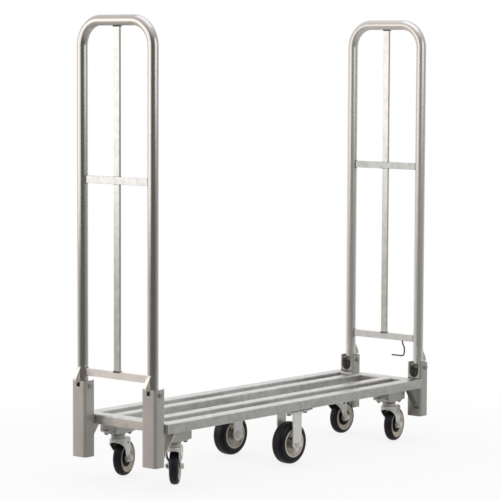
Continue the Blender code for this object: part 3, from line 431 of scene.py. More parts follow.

# Painted light and shade: the left braces get a pale warm copy of the aluminium, for the left soft box that
# falls on them, and the right braces get a dark copy, for the shade at that end.
brace_lit_and_shaded_metals = {
    "left": metal("brace_aluminium", (0.84, 0.79, 0.73), (0.74, 0.69, 0.64), 0.40, 0.55,
                  run_along("Z"), shine=0.4),
    "right": metal("brace_aluminium_painted_shade", (0.40, 0.40, 0.385), (0.27, 0.27, 0.26), 0.40, 0.55,
                   run_along("Z"))}
for (end, side), (centre, top, pivot) in post_places.items():
    outward, sign = ENDS[end], SIDES[side]
    corner = centre.x - outward * POST_DEPTH / 2
    toe = corner - outward * BRACE_REACH
    level = deck_underside - SEAT_GAP
    slope = math.hypot(BRACE_REACH, BRACE_DROP)
    strap_drop = BRACE_SHEET * slope / BRACE_REACH
    strap_run = BRACE_SHEET * slope / BRACE_DROP
    strap = [(toe + outward * strap_run, level), (toe, level), (corner, level - BRACE_DROP),
             (corner, level - BRACE_DROP + strap_drop)]
    web = [(corner, level), (toe, level), (corner, level - BRACE_DROP)]
    outer_edge = centre.y + sign * (POST_WIDTH / 2 - BRACE_INSET)
    inner_edge = outer_edge - sign * BRACE_WIDTH
    web_side = sign * outward
    edge = outer_edge if web_side == sign else inner_edge
    mesh = cut_mesh("brace", prism_mesh(strap, *sorted((outer_edge, inner_edge)), "Y"), [
        ("UNION", prism_mesh(web, *sorted((edge, edge - web_side * BRACE_SHEET)), "Y"))])
    fit(shaded(mesh, f"brace_{end}_{side}", brace_lit_and_shaded_metals[end], BRACE_EDGE_BREAK), "deck", "satin_aluminium")

# Upright hoops: one length of round aluminium tube at each end of the cart, bent twice to a U and
# open at its feet. The drawn surface has soft streaks along the tube.
TUBE_RADIUS = 0.01875
TUBE_WALL = 0.002
BEND_RADIUS = 0.087
TUBE_SIDES = 56
BEND_STEPS = 26
LEG_STEPS = 14
LEG_END_RISE = 0.012


def sweep(bm, path, radius, sides, hollow=0.0, uv=None, start_side=(1, 0, 0)):
    """Round bar or tube along a 3-D path. radius is a number or one for each point. uv names a map
    of the distance along and around the bar, for its grain."""
    points = [Vector(p) for p in path]
    last = len(points) - 1
    radii = radius if isinstance(radius, list) else [radius] * len(points)
    layer = bm.loops.layers.uv.new(uv) if uv else None
    side = Vector(start_side)
    travelled = 0.0
    marks, surfaces = [], [[] for _ in ((1, 2) if hollow else (1,))]
    for index, point in enumerate(points):
        before = points[max(index - 1, 0)]
        after = points[min(index + 1, last)]
        travelled += (point - before).length
        marks.append(travelled)
        forward = (after - before).normalized()
        side = (side - forward * side.dot(forward)).normalized()
        up = forward.cross(side)
        for surface, thickness in zip(surfaces, (radii[index], hollow)):
            ring = []
            for step in range(sides):
                angle = 2 * math.pi * step / sides
                ring.append(bm.verts.new(point + thickness * (math.cos(angle) * side + math.sin(angle) * up)))
            surface.append(ring)
    side_width = 2 * math.pi * radii[0] / sides
    for surface in surfaces:
        for number, face in enumerate(skin(bm, surface)):
            row, step = divmod(number, sides)
            corners = ((row, step), (row, step + 1), (row + 1, step + 1), (row + 1, step))
            for loop, (mark, spot) in zip(face.loops, corners if layer else ()):
                loop[layer].uv = (marks[mark], spot * side_width)
    for end in (0, last):
        if hollow:
            skin(bm, [surfaces[0][end], surfaces[1][end]])
        else:
            bm.faces.new(surfaces[0][end])


TUBE_GRAIN = (1 / 0.30, 1 / 0.0012, 1)
# Painted light: the right hoop gets a paler, less mirror-like copy of the drawn tube than the left, for how
# the light falls on each end.
hoop_lit_metals = {
    "left": metal("drawn_tube", (0.74, 0.73, 0.715), (0.62, 0.61, 0.595), 0.17, 0.28, TUBE_GRAIN,
                  uv_map="run", cloud_size=0.16),
    "right": metal("drawn_tube_painted_light", (0.86, 0.84, 0.825), (0.76, 0.74, 0.725), 0.20, 0.32, TUBE_GRAIN,
                   uv_map="run", cloud_size=0.16, shine=0.74)}
hoops = {}
for end in ENDS:
    low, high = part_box("upright_tube_" + end)
    pivot = centre_of(f"pivot_bolt_{end}_rear")
    leg_x, leg_y = pivot.x, pivot.y
    top_line = high.z - TUBE_RADIUS
    hoops[end] = (leg_x, leg_y, top_line, pivot.z)
    bend_y, bend_z = leg_y - BEND_RADIUS, top_line - BEND_RADIUS
    foot = pivot.z + LEG_END_RISE
    path = [(-leg_y, foot + (bend_z - foot) * step / LEG_STEPS) for step in range(LEG_STEPS)]
    path += arc((-bend_y, bend_z), BEND_RADIUS, 180, 90, BEND_STEPS)
    path += arc((bend_y, bend_z), BEND_RADIUS, 90, 0, BEND_STEPS)
    path += [(leg_y, bend_z + (foot - bend_z) * step / LEG_STEPS) for step in range(1, LEG_STEPS + 1)]
    bm = bmesh.new()
    sweep(bm, [(leg_x, y, z) for y, z in path], TUBE_RADIUS, TUBE_SIDES, TUBE_RADIUS - TUBE_WALL, "run")
    hoop = finished(bm, f"hoop_{end}", hoop_lit_metals[end])
    fit(hoop, "upright_" + end, "satin_aluminium", "upright_tube_" + end)

# Stop feet: short wedges of aluminium bar welded to the outside of each leg. They stand on the rims
# of the posts, so the open frame can't lean outwards.
FOOT_WIDTH = 0.015
FOOT_REACH = 0.022
FOOT_HEIGHT = 0.046
FOOT_HEEL = 0.013
FOOT_TAPER = 0.001
FOOT_EDGE_BREAK = 0.0012

foot_metal = metal("foot_aluminium", (0.76, 0.745, 0.72), (0.64, 0.63, 0.61), 0.24, 0.36, run_along("Z"))
for end, outward in ENDS.items():
    leg_x, leg_y, top_line, pivot_level = hoops[end]
    bottom = pivot_level + PIVOT_DROP + SEAT_GAP
    root = TUBE_RADIUS - TUBE_WALL / 2
    tip = TUBE_RADIUS + FOOT_REACH
    outline = [(root, bottom), (tip, bottom), (tip - FOOT_TAPER, bottom + FOOT_HEEL),
               (TUBE_RADIUS, bottom + FOOT_HEIGHT), (root, bottom + FOOT_HEIGHT)]
    outline = [(leg_x + outward * u, v) for u, v in outline]
    for side, sign in SIDES.items():
        bm = bmesh.new()
        add_prism(bm, outline, sign * leg_y - FOOT_WIDTH / 2, sign * leg_y + FOOT_WIDTH / 2, "Y")
        foot = finished(bm, f"stop_foot_{end}_{side}", foot_metal, FOOT_EDGE_BREAK)
        fit(foot, "upright_" + end, "satin_aluminium")

# Cross bars and centre bar: flat aluminium bar set on edge, with ends coped to the round tube. The
# centre bar and the middle bar are halved into each other where they cross, then all are welded.
BAR_THICKNESS = 0.0095
COPE_STEPS = 10
BAR_EDGE_BREAK = 0.0009
LOWER_SHINE = 0.5
# Painted light and shade: each bar gets its own copy of the flat bar's colour, paler and pinker where the
# warm left soft box falls on it, darker where the bar is in shade.
bar_lit_and_shaded_metals = {}
for kind, axis, light, dark in (
        ("middle_left", "Y", (0.68, 0.70, 0.71), (0.62, 0.64, 0.645)),
        ("middle_right", "Y", (0.545, 0.585, 0.58), (0.47, 0.50, 0.495)),
        ("centre_left", "Z", (0.68, 0.70, 0.705), (0.59, 0.605, 0.61)),
        ("centre_right", "Z", (0.77, 0.775, 0.77), (0.69, 0.69, 0.685)),
        ("lower_left", "Y", (0.96, 0.89, 0.85), (0.87, 0.80, 0.76)),
        ("lower_right", "Y", (0.86, 0.90, 0.895), (0.78, 0.82, 0.81))):
    bar_lit_and_shaded_metals[kind] = metal("flat_bar_" + kind, light, dark, 0.22, 0.36, run_along(axis), clouds=0.25,
                             shine=LOWER_SHINE if kind.startswith("lower") else 1.0)
bar_half = BAR_THICKNESS / 2
cope_seat = TUBE_RADIUS + SEAT_GAP
cope = []
for step in range(COPE_STEPS + 1):
    across = bar_half * (2 * step / COPE_STEPS - 1)
    cope.append((across, math.sqrt(cope_seat ** 2 - across ** 2)))
bar_levels = {}
for end in ENDS:
    leg_x, leg_y, top_line, pivot_level = hoops[end]
    here = Matrix.Translation((leg_x, 0, 0))
    lower_low, lower_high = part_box("lower_bar_" + end)
    middle_low, middle_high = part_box("middle_bar_" + end)
    lap = (middle_high.z - middle_low.z) / 2 + SEAT_GAP
    middle = (middle_high.z + middle_low.z) / 2
    bar_levels[end] = (middle, (lower_high.z + lower_low.z) / 2, lap)
    legs = [(-x, depth - leg_y) for x, depth in cope] + [(x, leg_y - depth) for x, depth in cope]
    lapped = [(x, leg_y - depth) for x, depth in cope[::-1]] + [(x, depth - leg_y) for x, depth in cope]
    lapped += [(bar_half, -lap), (-SEAT_GAP / 2, -lap), (-SEAT_GAP / 2, lap), (bar_half, lap)]
    centre_low, centre_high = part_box("centre_bar_" + end)
    upright = [(x, top_line - depth) for x, depth in cope]
    upright += [(bar_half, centre_low.z), (-bar_half, centre_low.z), (-bar_half, middle - lap)]
    upright += [(SEAT_GAP / 2, middle - lap), (SEAT_GAP / 2, middle + lap), (-bar_half, middle + lap)]
    for kind, outline, start, stop, axis in (("lower", legs, lower_low.z, lower_high.z, "Z"),
                                             ("middle", lapped, middle_low.z, middle_high.z, "Z"),
                                             ("centre", upright, centre_low.y, centre_high.y, "Y")):
        bm = bmesh.new()
        add_prism(bm, outline, start, stop, axis, here)
        bar = finished(bm, f"{kind}_flat_bar_{end}", bar_lit_and_shaded_metals[f"{kind}_{end}"], BAR_EDGE_BREAK)
        fit(bar, "upright_" + end, "satin_aluminium", f"{kind}_bar_{end}")

# Hinge plugs: aluminium bar pressed into the end of each leg and milled to a rounded nose, with a
# cross bore for the bolt.
PLUG_INSERT = 0.040
PLUG_NOSE = 0.014
PLUG_SIDES = 40
plug_metal = metal("plug_aluminium", (0.34, 0.335, 0.33), (0.20, 0.20, 0.20), 0.30, 0.45, run_along("Z"),
                   rub=0.8)
for (end, side), (centre, top, pivot) in post_places.items():
    radius = TUBE_RADIUS - TUBE_WALL - SEAT_GAP
    wide = radius + CUT_OVERRUN
    shoulder = LEG_END_RISE - SEAT_GAP
    here = Matrix.Translation(pivot)
    profile = arc((0, 0), PLUG_NOSE, 180, 360, 20)
    profile += [(PLUG_NOSE, shoulder), (wide, shoulder), (wide, LEG_END_RISE + PLUG_INSERT)]
    profile += [(-wide, LEG_END_RISE + PLUG_INSERT), (-wide, shoulder), (-PLUG_NOSE, shoulder)]
    bar = circle(radius, PLUG_SIDES)
    mesh = cut_mesh("plug", prism_mesh(bar, -wide, LEG_END_RISE + PLUG_INSERT + CUT_OVERRUN, "Z", here), [
        ("INTERSECT", prism_mesh(profile, -wide, wide, "Y", here)),
        ("DIFFERENCE", prism_mesh(circle(BOLT_HOLE / 2, HOLE_SIDES), -wide, wide, "Y", here))])
    fit(shaded(mesh, f"leg_plug_{end}_{side}", plug_metal, DEBURR), "upright_" + end, "plug_aluminium",
        f"hinge_plug_{end}_{side}")

# Hinge bolts: a hexagon bolt and nut through each post and plug, with a washer outside each wall and
# a collar between wall and plug. Zinc-plated steel, darker than the aluminium around it.
PIVOT_SHANK = 0.005
PIVOT_COLLAR = 0.009
PIVOT_FLATS = 0.017
WASHER_THICKNESS = 0.0014
WASHER_RADIUS = 0.0098
THREAD_PITCH = 0.0015
THREAD_DEPTH = 0.0005
TOUCH_GAP = 0.0001


def toward(direction, at):
    """Matrix that stands a piece drawn along +Z at a place, with its top towards a direction."""
    return Matrix.Translation(at) @ Vector(direction).to_track_quat("Z", "Y").to_matrix().to_4x4()


def add_turned(bm, profile, matrix=Matrix(), steps=48):
    """Solid of revolution about +Z of a closed profile of (radius, height) points."""
    rings = []
    for radius, height in profile:
        if radius == 0:
            rings.append([bm.verts.new(matrix @ Vector((0, 0, height)))])
            continue
        rings.append([bm.verts.new(matrix @ Vector((x, y, height))) for x, y in circle(radius, steps)])
    for index, first in enumerate(rings):
        second = rings[(index + 1) % len(rings)]
        for step in range(steps):
            turn = (step + 1) % steps
            corners = [first[step % len(first)], first[turn % len(first)],
                       second[turn % len(second)], second[step % len(second)]]
            corners = [corner for place, corner in enumerate(corners) if corner not in corners[:place]]
            if len(corners) > 2:
                bm.faces.new(corners)


def add_rod(bm, radius, low, high, matrix):
    """Plain round rod or collar about +Z."""
    add_turned(bm, [(0, low), (radius, low), (radius, high), (0, high)], matrix)


def add_hexagon(bm, flats, height, matrix=Matrix(), turn=0.0):
    """Bolt head or nut standing on z = 0, with the round chamfer that cuts its corners."""
    steps, inradius = 48, flats / 2
    rim = 0.95 * inradius
    rings = [[], [], [], []]
    for step in range(steps):
        angle = 2 * math.pi * step / steps
        within = (angle + math.pi / 6) % (math.pi / 3) - math.pi / 6
        edge = inradius / math.cos(within)
        drop = (edge - rim) * math.tan(math.radians(30))
        direction = Vector((math.cos(angle + turn), math.sin(angle + turn), 0))
        rings[0].append(bm.verts.new(matrix @ (direction * 0.97 * edge)))
        rings[1].append(bm.verts.new(matrix @ (direction * edge + Vector((0, 0, 0.03 * edge)))))
        rings[2].append(bm.verts.new(matrix @ (direction * edge + Vector((0, 0, height - drop)))))
        rings[3].append(bm.verts.new(matrix @ (direction * rim + Vector((0, 0, height)))))
    skin(bm, rings)
    bm.faces.new(rings[0][::-1])
    bm.faces.new(rings[3])


def add_thread(bm, radius, pitch, low, high, matrix=Matrix(), steps=24):
    """Threaded end of a bolt with a chamfered tip: the crest climbs one pitch in each turn."""
    rows = max(4, round((high - low) / pitch * 6))
    rings = []
    for row in range(rows + 1):
        height = low + (high - low) * row / rows
        ring = []
        for step in range(steps):
            phase = (height / pitch - step / steps) % 1
            wave = abs(2 * phase - 1)
            reach = radius - THREAD_DEPTH * (1 - wave)
            tip = max(0.0, height - (high - 1.2 * pitch))
            angle = 2 * math.pi * step / steps
            reach = min(reach, radius - tip * 0.6)
            spot = Vector((reach * math.cos(angle), reach * math.sin(angle), height))
            ring.append(bm.verts.new(matrix @ spot))
        rings.append(ring)
    skin(bm, rings)
    bm.faces.new(rings[0][::-1])
    bm.faces.new(rings[-1])


def add_washer(bm, radius, bore, thickness, matrix=Matrix()):
    edge = thickness * 0.25
    add_turned(bm, [(bore, 0), (radius - edge, 0), (radius, edge), (radius, thickness - edge),
                    (radius - edge, thickness), (bore, thickness)], matrix)


bolt_metal = metal("plated_bolt", (0.55, 0.545, 0.53), (0.36, 0.355, 0.34), 0.28, 0.46, (260, 260, 260),
                   clouds=1.3, streaks=0.5, cloud_size=0.02, rub=0.9)
for (end, side), (centre, top, pivot) in post_places.items():
    name = f"pivot_bolt_{end}_{side}"
    low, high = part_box(name)
    wall = POST_WIDTH / 2
    inside = wall - POST_WALL - SEAT_GAP
    plug_side = TUBE_RADIUS - TUBE_WALL
    for sign in (-1, 1):
        seat = toward((0, sign, 0), pivot + Vector((0, sign * (wall + TOUCH_GAP), 0)))
        head = high.y - pivot.y - wall - WASHER_THICKNESS - 2 * TOUCH_GAP
        bm = bmesh.new()
        add_washer(bm, WASHER_RADIUS, PIVOT_SHANK, WASHER_THICKNESS, seat)
        lift = seat @ Matrix.Translation((0, 0, WASHER_THICKNESS + TOUCH_GAP))
        if sign == SIDES[side]:
            add_hexagon(bm, PIVOT_FLATS, head, lift, 0.2)
        else:
            add_hexagon(bm, PIVOT_FLATS, head * 0.8, lift, 0.4)
            add_thread(bm, PIVOT_SHANK, THREAD_PITCH, 0, head, lift)
        collar = toward((0, sign, 0), pivot + Vector((0, sign * plug_side, 0)))
        add_rod(bm, PIVOT_COLLAR, 0, inside - plug_side, collar)
        part = "head" if sign == SIDES[side] else "nut"
        fit(finished(bm, f"hinge_{part}_{end}_{side}", bolt_metal), "deck", "bolt_steel",
            *([name] if part == "head" else []))
    bm = bmesh.new()
    add_rod(bm, PIVOT_SHANK, -wall, wall, toward((0, 1, 0), pivot))
    fit(finished(bm, f"hinge_shank_{end}_{side}", bolt_metal), "deck", "bolt_steel")

# Storage hook: a thin steel rod bent to a hook and welded under the right frame's lower bar.
# Blackened, with its tip ground round.
HOOK_ROD = 0.0055
HOOK_KNEE_OUT = 0.009
HOOK_KNEE_DROP = 0.024
HOOK_BEND = 0.012
HOOK_SIDES = 20


def smooth_curve(first, control, last, steps):
    """Points on a parabola from first to last, pulled towards control; first is left out."""
    points = []
    for step in range(1, steps + 1):
        t = step / steps
        a, b, c = (1 - t) ** 2, 2 * t * (1 - t), t ** 2
        points.append(tuple(a * p + b * q + c * r for p, q, r in zip(first, control, last)))
    return points


hook_metal = metal("blackened_rod", (0.16, 0.155, 0.15), (0.07, 0.068, 0.065), 0.35, 0.55, (300, 300, 300),
                   rub=1.0, cloud_size=0.02)
low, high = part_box("storage_hook")
hook_x, hook_top = (low.x + high.x) / 2, high.z
root_y = low.y + HOOK_ROD / 2 + HOOK_KNEE_OUT
knee = (root_y - HOOK_KNEE_OUT, hook_top - HOOK_KNEE_DROP)
bottom = low.z + HOOK_ROD / 2
path = [(root_y, hook_top)]
path += smooth_curve((root_y, hook_top), (root_y, hook_top - HOOK_KNEE_DROP / 2), knee, 10)
path += smooth_curve(knee, (knee[0] - HOOK_KNEE_OUT / 2, bottom), (knee[0] + HOOK_BEND, bottom), 12)
path.append((high.y - HOOK_ROD / 2, bottom))
tip_turns = [math.radians(turn) for turn in (30, 60, 85)]
tip_path = [(high.y - HOOK_ROD / 2 + HOOK_ROD / 2 * math.sin(turn), bottom) for turn in tip_turns]
tip_radii = [HOOK_ROD / 2 * math.cos(turn) for turn in tip_turns]
bm = bmesh.new()
sweep(bm, [(hook_x, y, z) for y, z in path + tip_path], [HOOK_ROD / 2] * len(path) + tip_radii, HOOK_SIDES)
hook = finished(bm, "hook_rod", hook_metal, angle=math.radians(60))
fit(hook, "upright_right", "dark_steel", "storage_hook")

# Caster mounts: short pieces of rectangular aluminium tube welded crosswise under the deck, open at
# both ends. The swivel casters' plates are bolted to their lower wall.
MOUNT_WALL = 0.004
MOUNT_CORNER = 0.005
mount_metal = metal("mount_aluminium", (0.66, 0.65, 0.63), (0.50, 0.49, 0.475), 0.28, 0.42,
                    run_along("X"))
# Painted light: the inner walls get a near-white diffuse finish, standing for the white room seen through the
# open ends of the tube.
mount_inside_painted_light = metal("mount_inside_painted_light", (0.96, 0.96, 0.95), (0.88, 0.88, 0.87), 0.45, 0.60,
                     run_along("X"), shine=0.0)
CORNERS = [(end, side) for end in ENDS for side in SIDES]
mounts = {}
for end, side in CORNERS:
    name = f"caster_mount_{end}_{side}"
    low, high, size, centre = measured(name)
    mounts[end, side] = (low, high, centre)
    bm = bmesh.new()
    add_tube(bm, size.y, size.z, MOUNT_CORNER, MOUNT_WALL, -size.x / 2, size.x / 2, "X", centre)
    mount = finished(bm, f"mount_tube_{end}_{side}", mount_metal, DEBURR)
    # The inward faces take the painted-light white.
    mount.data.materials.append(mount_inside_painted_light)
    for face in mount.data.polygons:
        inward = face.normal.dot(centre - face.center) > 0
        face.material_index = 1 if inward and abs(face.normal.x) < 0.5 else 0
    fit(mount, "deck", "satin_aluminium", name)

# Weld beads: filler wire run by hand round the joints of the deck and of the two frames, left as
# welded. Rippled, tapered where the arc was struck and stopped, and stained brown by the heat.
BEAD_STEP = 0.0012
BEAD_SIDES = 8
BEAD_RADIUS = 0.0022
POST_BEAD = 0.0042
BRACE_BEAD = 0.0028
BAR_BEAD = 0.0030
FOOT_BEAD = 0.0034
HOOK_BEAD = 0.0014
BEAD_LIFT = 0.0004
BEAD_LENGTH = 0.032
BEAD_MARGIN = 0.004
POST_BEAD_INSET = 0.007
BEAD_HOLLOW = 0.78
BEAD_START = 0.4
bead_metal = metal("weld_bead", (0.34, 0.295, 0.245), (0.13, 0.11, 0.09), 0.32, 0.55, (400, 400, 400),
                   clouds=1.4, streaks=0.5, cloud_size=0.006, rub=0.9)


def add_bead(bm, path, radius=BEAD_RADIUS):
    """Rippled bead along a path, thin at both ends."""
    spots = [Vector(path[0])]
    for first, second in zip(path, path[1:]):
        first, second = Vector(first), Vector(second)
        count = max(1, round((second - first).length / BEAD_STEP))
        spots += [first.lerp(second, step / count) for step in range(1, count + 1)]
    last = len(spots) - 1
    radii = [radius * (1.0, BEAD_HOLLOW)[index % 2] * min(1, BEAD_START + min(index, last - index) / 4)
             for index in range(last + 1)]
    sweep(bm, spots, radii, BEAD_SIDES, start_side=(0.3, 0.5, 0.8))


deck_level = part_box("side_rail_front")[1].z
for (end, side), (centre, top, pivot) in post_places.items():
    outward, sign = ENDS[end], SIDES[side]
    corner = centre.x - outward * POST_DEPTH / 2
    inside, outside = (centre.y + turn * sign * (POST_WIDTH / 2 - POST_BEAD_INSET) for turn in (-1, 1))
    bm = bmesh.new()
    ease = sign * 0.004
    add_bead(bm, [(corner, inside, deck_underside), (corner, inside, deck_level - 0.002),
                  (corner, inside + ease, deck_level - 0.0008), (corner, outside - ease, deck_level - 0.0008),
                  (corner, outside, deck_level - 0.002), (corner, outside, deck_underside)], POST_BEAD)
    strap_edge = centre.y + sign * (POST_WIDTH / 2 - BRACE_INSET)
    toe = corner - outward * BRACE_REACH
    for x, z in ((toe, deck_underside), (corner, deck_underside - BRACE_DROP)):
        add_bead(bm, [(x, strap_edge, z), (x, strap_edge - sign * BRACE_WIDTH, z)], BRACE_BEAD)
    low, high, middle = mounts[end, side]
    edge = middle.y + sign * (high.y - low.y) / 2
    for start in (low.x + BEAD_MARGIN, high.x - BEAD_MARGIN - BEAD_LENGTH):
        add_bead(bm, [(x, edge, deck_underside - BEAD_LIFT) for x in (start, start + BEAD_LENGTH)])
    fit(finished(bm, f"deck_welds_{end}_{side}", bead_metal), "deck", "satin_aluminium")

low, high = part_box("cross_plate_middle")
for side, y in (("front", low.y), ("rear", high.y)):
    bm = bmesh.new()
    for share in (0.02, 0.36, 0.70):
        start = low.x + share * (high.x - low.x)
        add_bead(bm, [(x, y, high.z - 0.0005) for x in (start, start + BEAD_LENGTH)])
    fit(finished(bm, "cross_plate_welds_" + side, bead_metal), "deck", "satin_aluminium")


def round_bar(centre, across, up, half_across, half_up):
    """Loop round the end of a flat bar, given the two directions that its section lies in."""
    corners = ((0, -1), (1, -1), (1, 1), (-1, 1), (-1, -1), (-0.1, -1))
    return [centre + Vector(across) * u * half_across + Vector(up) * v * half_up for u, v in corners]


for end, outward in ENDS.items():
    leg_x, leg_y, top_line, pivot_level = hoops[end]
    middle, lower, lap = bar_levels[end]
    half_wide = lap - SEAT_GAP
    seat = math.sqrt(TUBE_RADIUS ** 2 - bar_half ** 2) + BEAD_LIFT
    bm = bmesh.new()
    for sign in SIDES.values():
        for level in (middle, lower):
            add_bead(bm, round_bar(Vector((leg_x, sign * (leg_y - seat), level)), (1, 0, 0), (0, 0, 1),
                                   bar_half + BEAD_LIFT, half_wide + BEAD_LIFT), BAR_BEAD)
        for up in (-1, 1):
            y, z = sign * (half_wide + 0.0005), middle + up * (half_wide + 0.0005)
            add_bead(bm, [(leg_x - bar_half, y, z), (leg_x + bar_half, y, z)], BAR_BEAD)
        foot = pivot_level + PIVOT_DROP
        for turn in (-1, 1):
            y = sign * leg_y + turn * (FOOT_WIDTH / 2 + SEAT_GAP)
            x = leg_x + outward * (math.sqrt(TUBE_RADIUS ** 2 - (FOOT_WIDTH / 2) ** 2) + BEAD_LIFT)
            add_bead(bm, [(x, y, foot + 0.006), (x, y, foot + FOOT_HEIGHT - 0.002)], FOOT_BEAD)
    for level in (top_line - seat, lower + half_wide):
        add_bead(bm, round_bar(Vector((leg_x, 0, level)), (1, 0, 0), (0, 1, 0),
                               bar_half + BEAD_LIFT, half_wide + BEAD_LIFT), FOOT_BEAD)
    if end == "right":
        round_rod = arc((0, 0), HOOK_ROD / 2 + BEAD_LIFT, 0, 350, 12)
        add_bead(bm, [(hook_x + x, root_y + y, hook_top - 0.0008) for x, y in round_rod], HOOK_BEAD)
    fit(finished(bm, "frame_welds_" + end, bead_metal), "upright_" + end, "satin_aluminium")

# Swivel plates: a pressed zinc-plated plate with a ball race cup under it and a kingpin through the
# middle, held to its mount by four bolts. Their low round heads lie inside the tube, their nuts below.
PLATE_THICKNESS = 0.004
PLATE_ROUND = 0.010
RACE_RADIUS = 0.0255
RACE_LIP = 0.0235
RACE_SHEET = 0.003
RACE_DEPTH = 0.0095
KINGPIN_RADIUS = 0.0065
KINGPIN_HEAD = 0.0105
KINGPIN_PLAY = 0.0005
PLATE_BOLT = 0.004
PLATE_BOLT_FLATS = 0.0125
PLATE_BOLT_HEAD = 0.0050
PLATE_BOLT_INSET = 0.0105
PLATE_BOLT_DOME = 0.0085
PLATE_BOLT_RISE = 0.0022
FINE_PITCH = 0.00125

zinc = metal("zinc_plate", (0.66, 0.655, 0.64), (0.50, 0.495, 0.48), 0.24, 0.42,
             (150, 150, 150), clouds=1.2, streaks=0.35, cloud_size=0.03, rub=0.8)
dark_bolt = metal("dark_bolt", (0.30, 0.295, 0.285), (0.16, 0.155, 0.15), 0.32, 0.5, (260, 260, 260),
                  clouds=1.3, streaks=0.5, cloud_size=0.02, rub=0.9)
dome = [(0, 0)]
for angle in (90, 75, 60, 45, 30, 15):
    turn = math.radians(angle)
    dome.append((PLATE_BOLT_DOME * math.sin(turn), PLATE_BOLT_RISE * math.cos(turn)))
dome.append((0, PLATE_BOLT_RISE))


def plate_bolts(low, high, inset, x_turn, y_turn):
    """For the bolt at each corner of a plate, how far its head is turned and where it stands."""
    centre = (low + high) / 2
    for sx in (-1, 1):
        for sy in (-1, 1):
            yield (x_turn * sx + y_turn * sy, centre.x + sx * ((high.x - low.x) / 2 - inset),
                   centre.y + sy * ((high.y - low.y) / 2 - inset))


for end, side in CORNERS:
    name = f"top_plate_{end}_{side}"
    low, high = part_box(name)
    centre = Vector(((low.x + high.x) / 2, (low.y + high.y) / 2, 0))
    plate_top, plate_under = high.z, high.z - PLATE_THICKNESS
    here = Matrix.Translation(centre)
    plate = prism_mesh(rounded_rectangle(high.x - low.x, high.y - low.y, PLATE_ROUND, 9), plate_under,
                       plate_top, "Z", here)
    fork_under = low.z + 0.004
    bm = bmesh.new()
    inside = RACE_LIP - RACE_SHEET
    cup = [(0, plate_under + PLATE_THICKNESS / 2), (RACE_LIP, plate_under + PLATE_THICKNESS / 2),
           (RACE_LIP, plate_under - 0.0008)]
    cup += arc((RACE_RADIUS - 0.002, plate_under - 0.0035), 0.002, 90, 0, 5)
    race_low = plate_under - RACE_DEPTH
    cup += [(RACE_RADIUS, race_low + 0.0006), (RACE_RADIUS - 0.0006, race_low),
            (inside, race_low), (inside, plate_under - RACE_SHEET),
            (KINGPIN_RADIUS, plate_under - RACE_SHEET), (KINGPIN_RADIUS, fork_under)]
    cup += arc((KINGPIN_HEAD - 0.0012, fork_under - 0.0012), 0.0012, 90, 0, 4)
    cup += [(KINGPIN_HEAD - 0.001, low.z + 0.0006), (KINGPIN_HEAD - 0.003, low.z), (0, low.z)]
    add_turned(bm, cup, here, 56)
    mesh = cut_mesh("plate", plate, [("UNION", as_mesh(bm, "cup"))])
    fit(shaded(mesh, f"swivel_plate_{end}_{side}", zinc, 0.0006), "deck", "zinc_steel", name)
    floor_level = mounts[end, side][0].z + MOUNT_WALL
    bm = bmesh.new()
    for turn, x, y in plate_bolts(low, high, PLATE_BOLT_INSET, 0.3, 0.5):
        under = toward((0, 0, -1), (x, y, plate_under - TOUCH_GAP))
        add_hexagon(bm, PLATE_BOLT_FLATS, PLATE_BOLT_HEAD, under, turn)
        add_thread(bm, PLATE_BOLT, FINE_PITCH, 0, PLATE_BOLT_HEAD + PLATE_BOLT / 2, under)
        add_turned(bm, dome, Matrix.Translation((x, y, floor_level + TOUCH_GAP)))
    fit(finished(bm, f"plate_bolts_{end}_{side}", dark_bolt), "deck", "bolt_steel")

# Swivel forks: one stamping of zinc-plated steel, folded down each side of the wheel. The arms sweep
# back to the axle, and a slot is punched near the heel of each. The lower race is pressed on top.
FORK_SHEET = 0.003
FORK_GAP = 0.037
FORK_CROWN_GAP = 0.050
FORK_SHOULDER_DROP = 0.040
FORK_KNEE_DROP = 0.062
FORK_BEND = 0.009
FORK_FRONT = 0.032
FORK_BACK = 0.041
FORK_CROWN = 0.012
FORK_BOSS = 0.014
FORK_ROUND = 0.027
FRONT_EASE = (0.015, 0.042)
BACK_EASE = (0.036, 0.045)
TRAIL = 0.045
WHEEL_RADIUS = 0.0635
AXLE_RADIUS = 0.00575
LOWER_RACE = 0.007
SLOT_LENGTH = 0.013
SLOT_HEIGHT = 0.0055
SLOT_PLACE = (0.024, 0.019)
KNEE_STEPS = 8
NOSE_STEPS = 14
SHINE_LEFT = 0.45

fork_zinc = metal("fork_zinc", (0.84, 0.835, 0.815), (0.64, 0.635, 0.615), 0.22, 0.38, (150, 150, 150),
                  clouds=0.7, streaks=0.3, cloud_size=0.03, shine=SHINE_LEFT)
# Painted shade: the faces under the crown and between the arms get a near-black copy, for the deep shade
# inside the fork.
fork_inside_painted_shade = metal("fork_inside_painted_shade", (0.085, 0.08, 0.08), (0.045, 0.042, 0.045), 0.5, 0.7, (150, 150, 150),
                    clouds=0.9, cloud_size=0.02, rub=0.4)


def paint_shade_inside(fork, fork_top):
    """Give the faces that look inwards, under the crown and between the arms, the near-black painted shade.
    """
    fork.data.materials.append(fork_inside_painted_shade)
    for face in fork.data.polygons:
        place, way = face.center, face.normal
        under_crown = way.z < -0.7 and place.z > fork_top - FORK_BEND
        between = way.y * place.y < 0 and abs(way.y) > 0.5 and abs(place.y) < FORK_CROWN_GAP / 2 + 0.001
        behind_nose = way.x > 0.4 and place.x < -0.008 and place.z < fork_top - FORK_SHEET
        if under_crown or between or behind_nose:
            face.material_index = 1


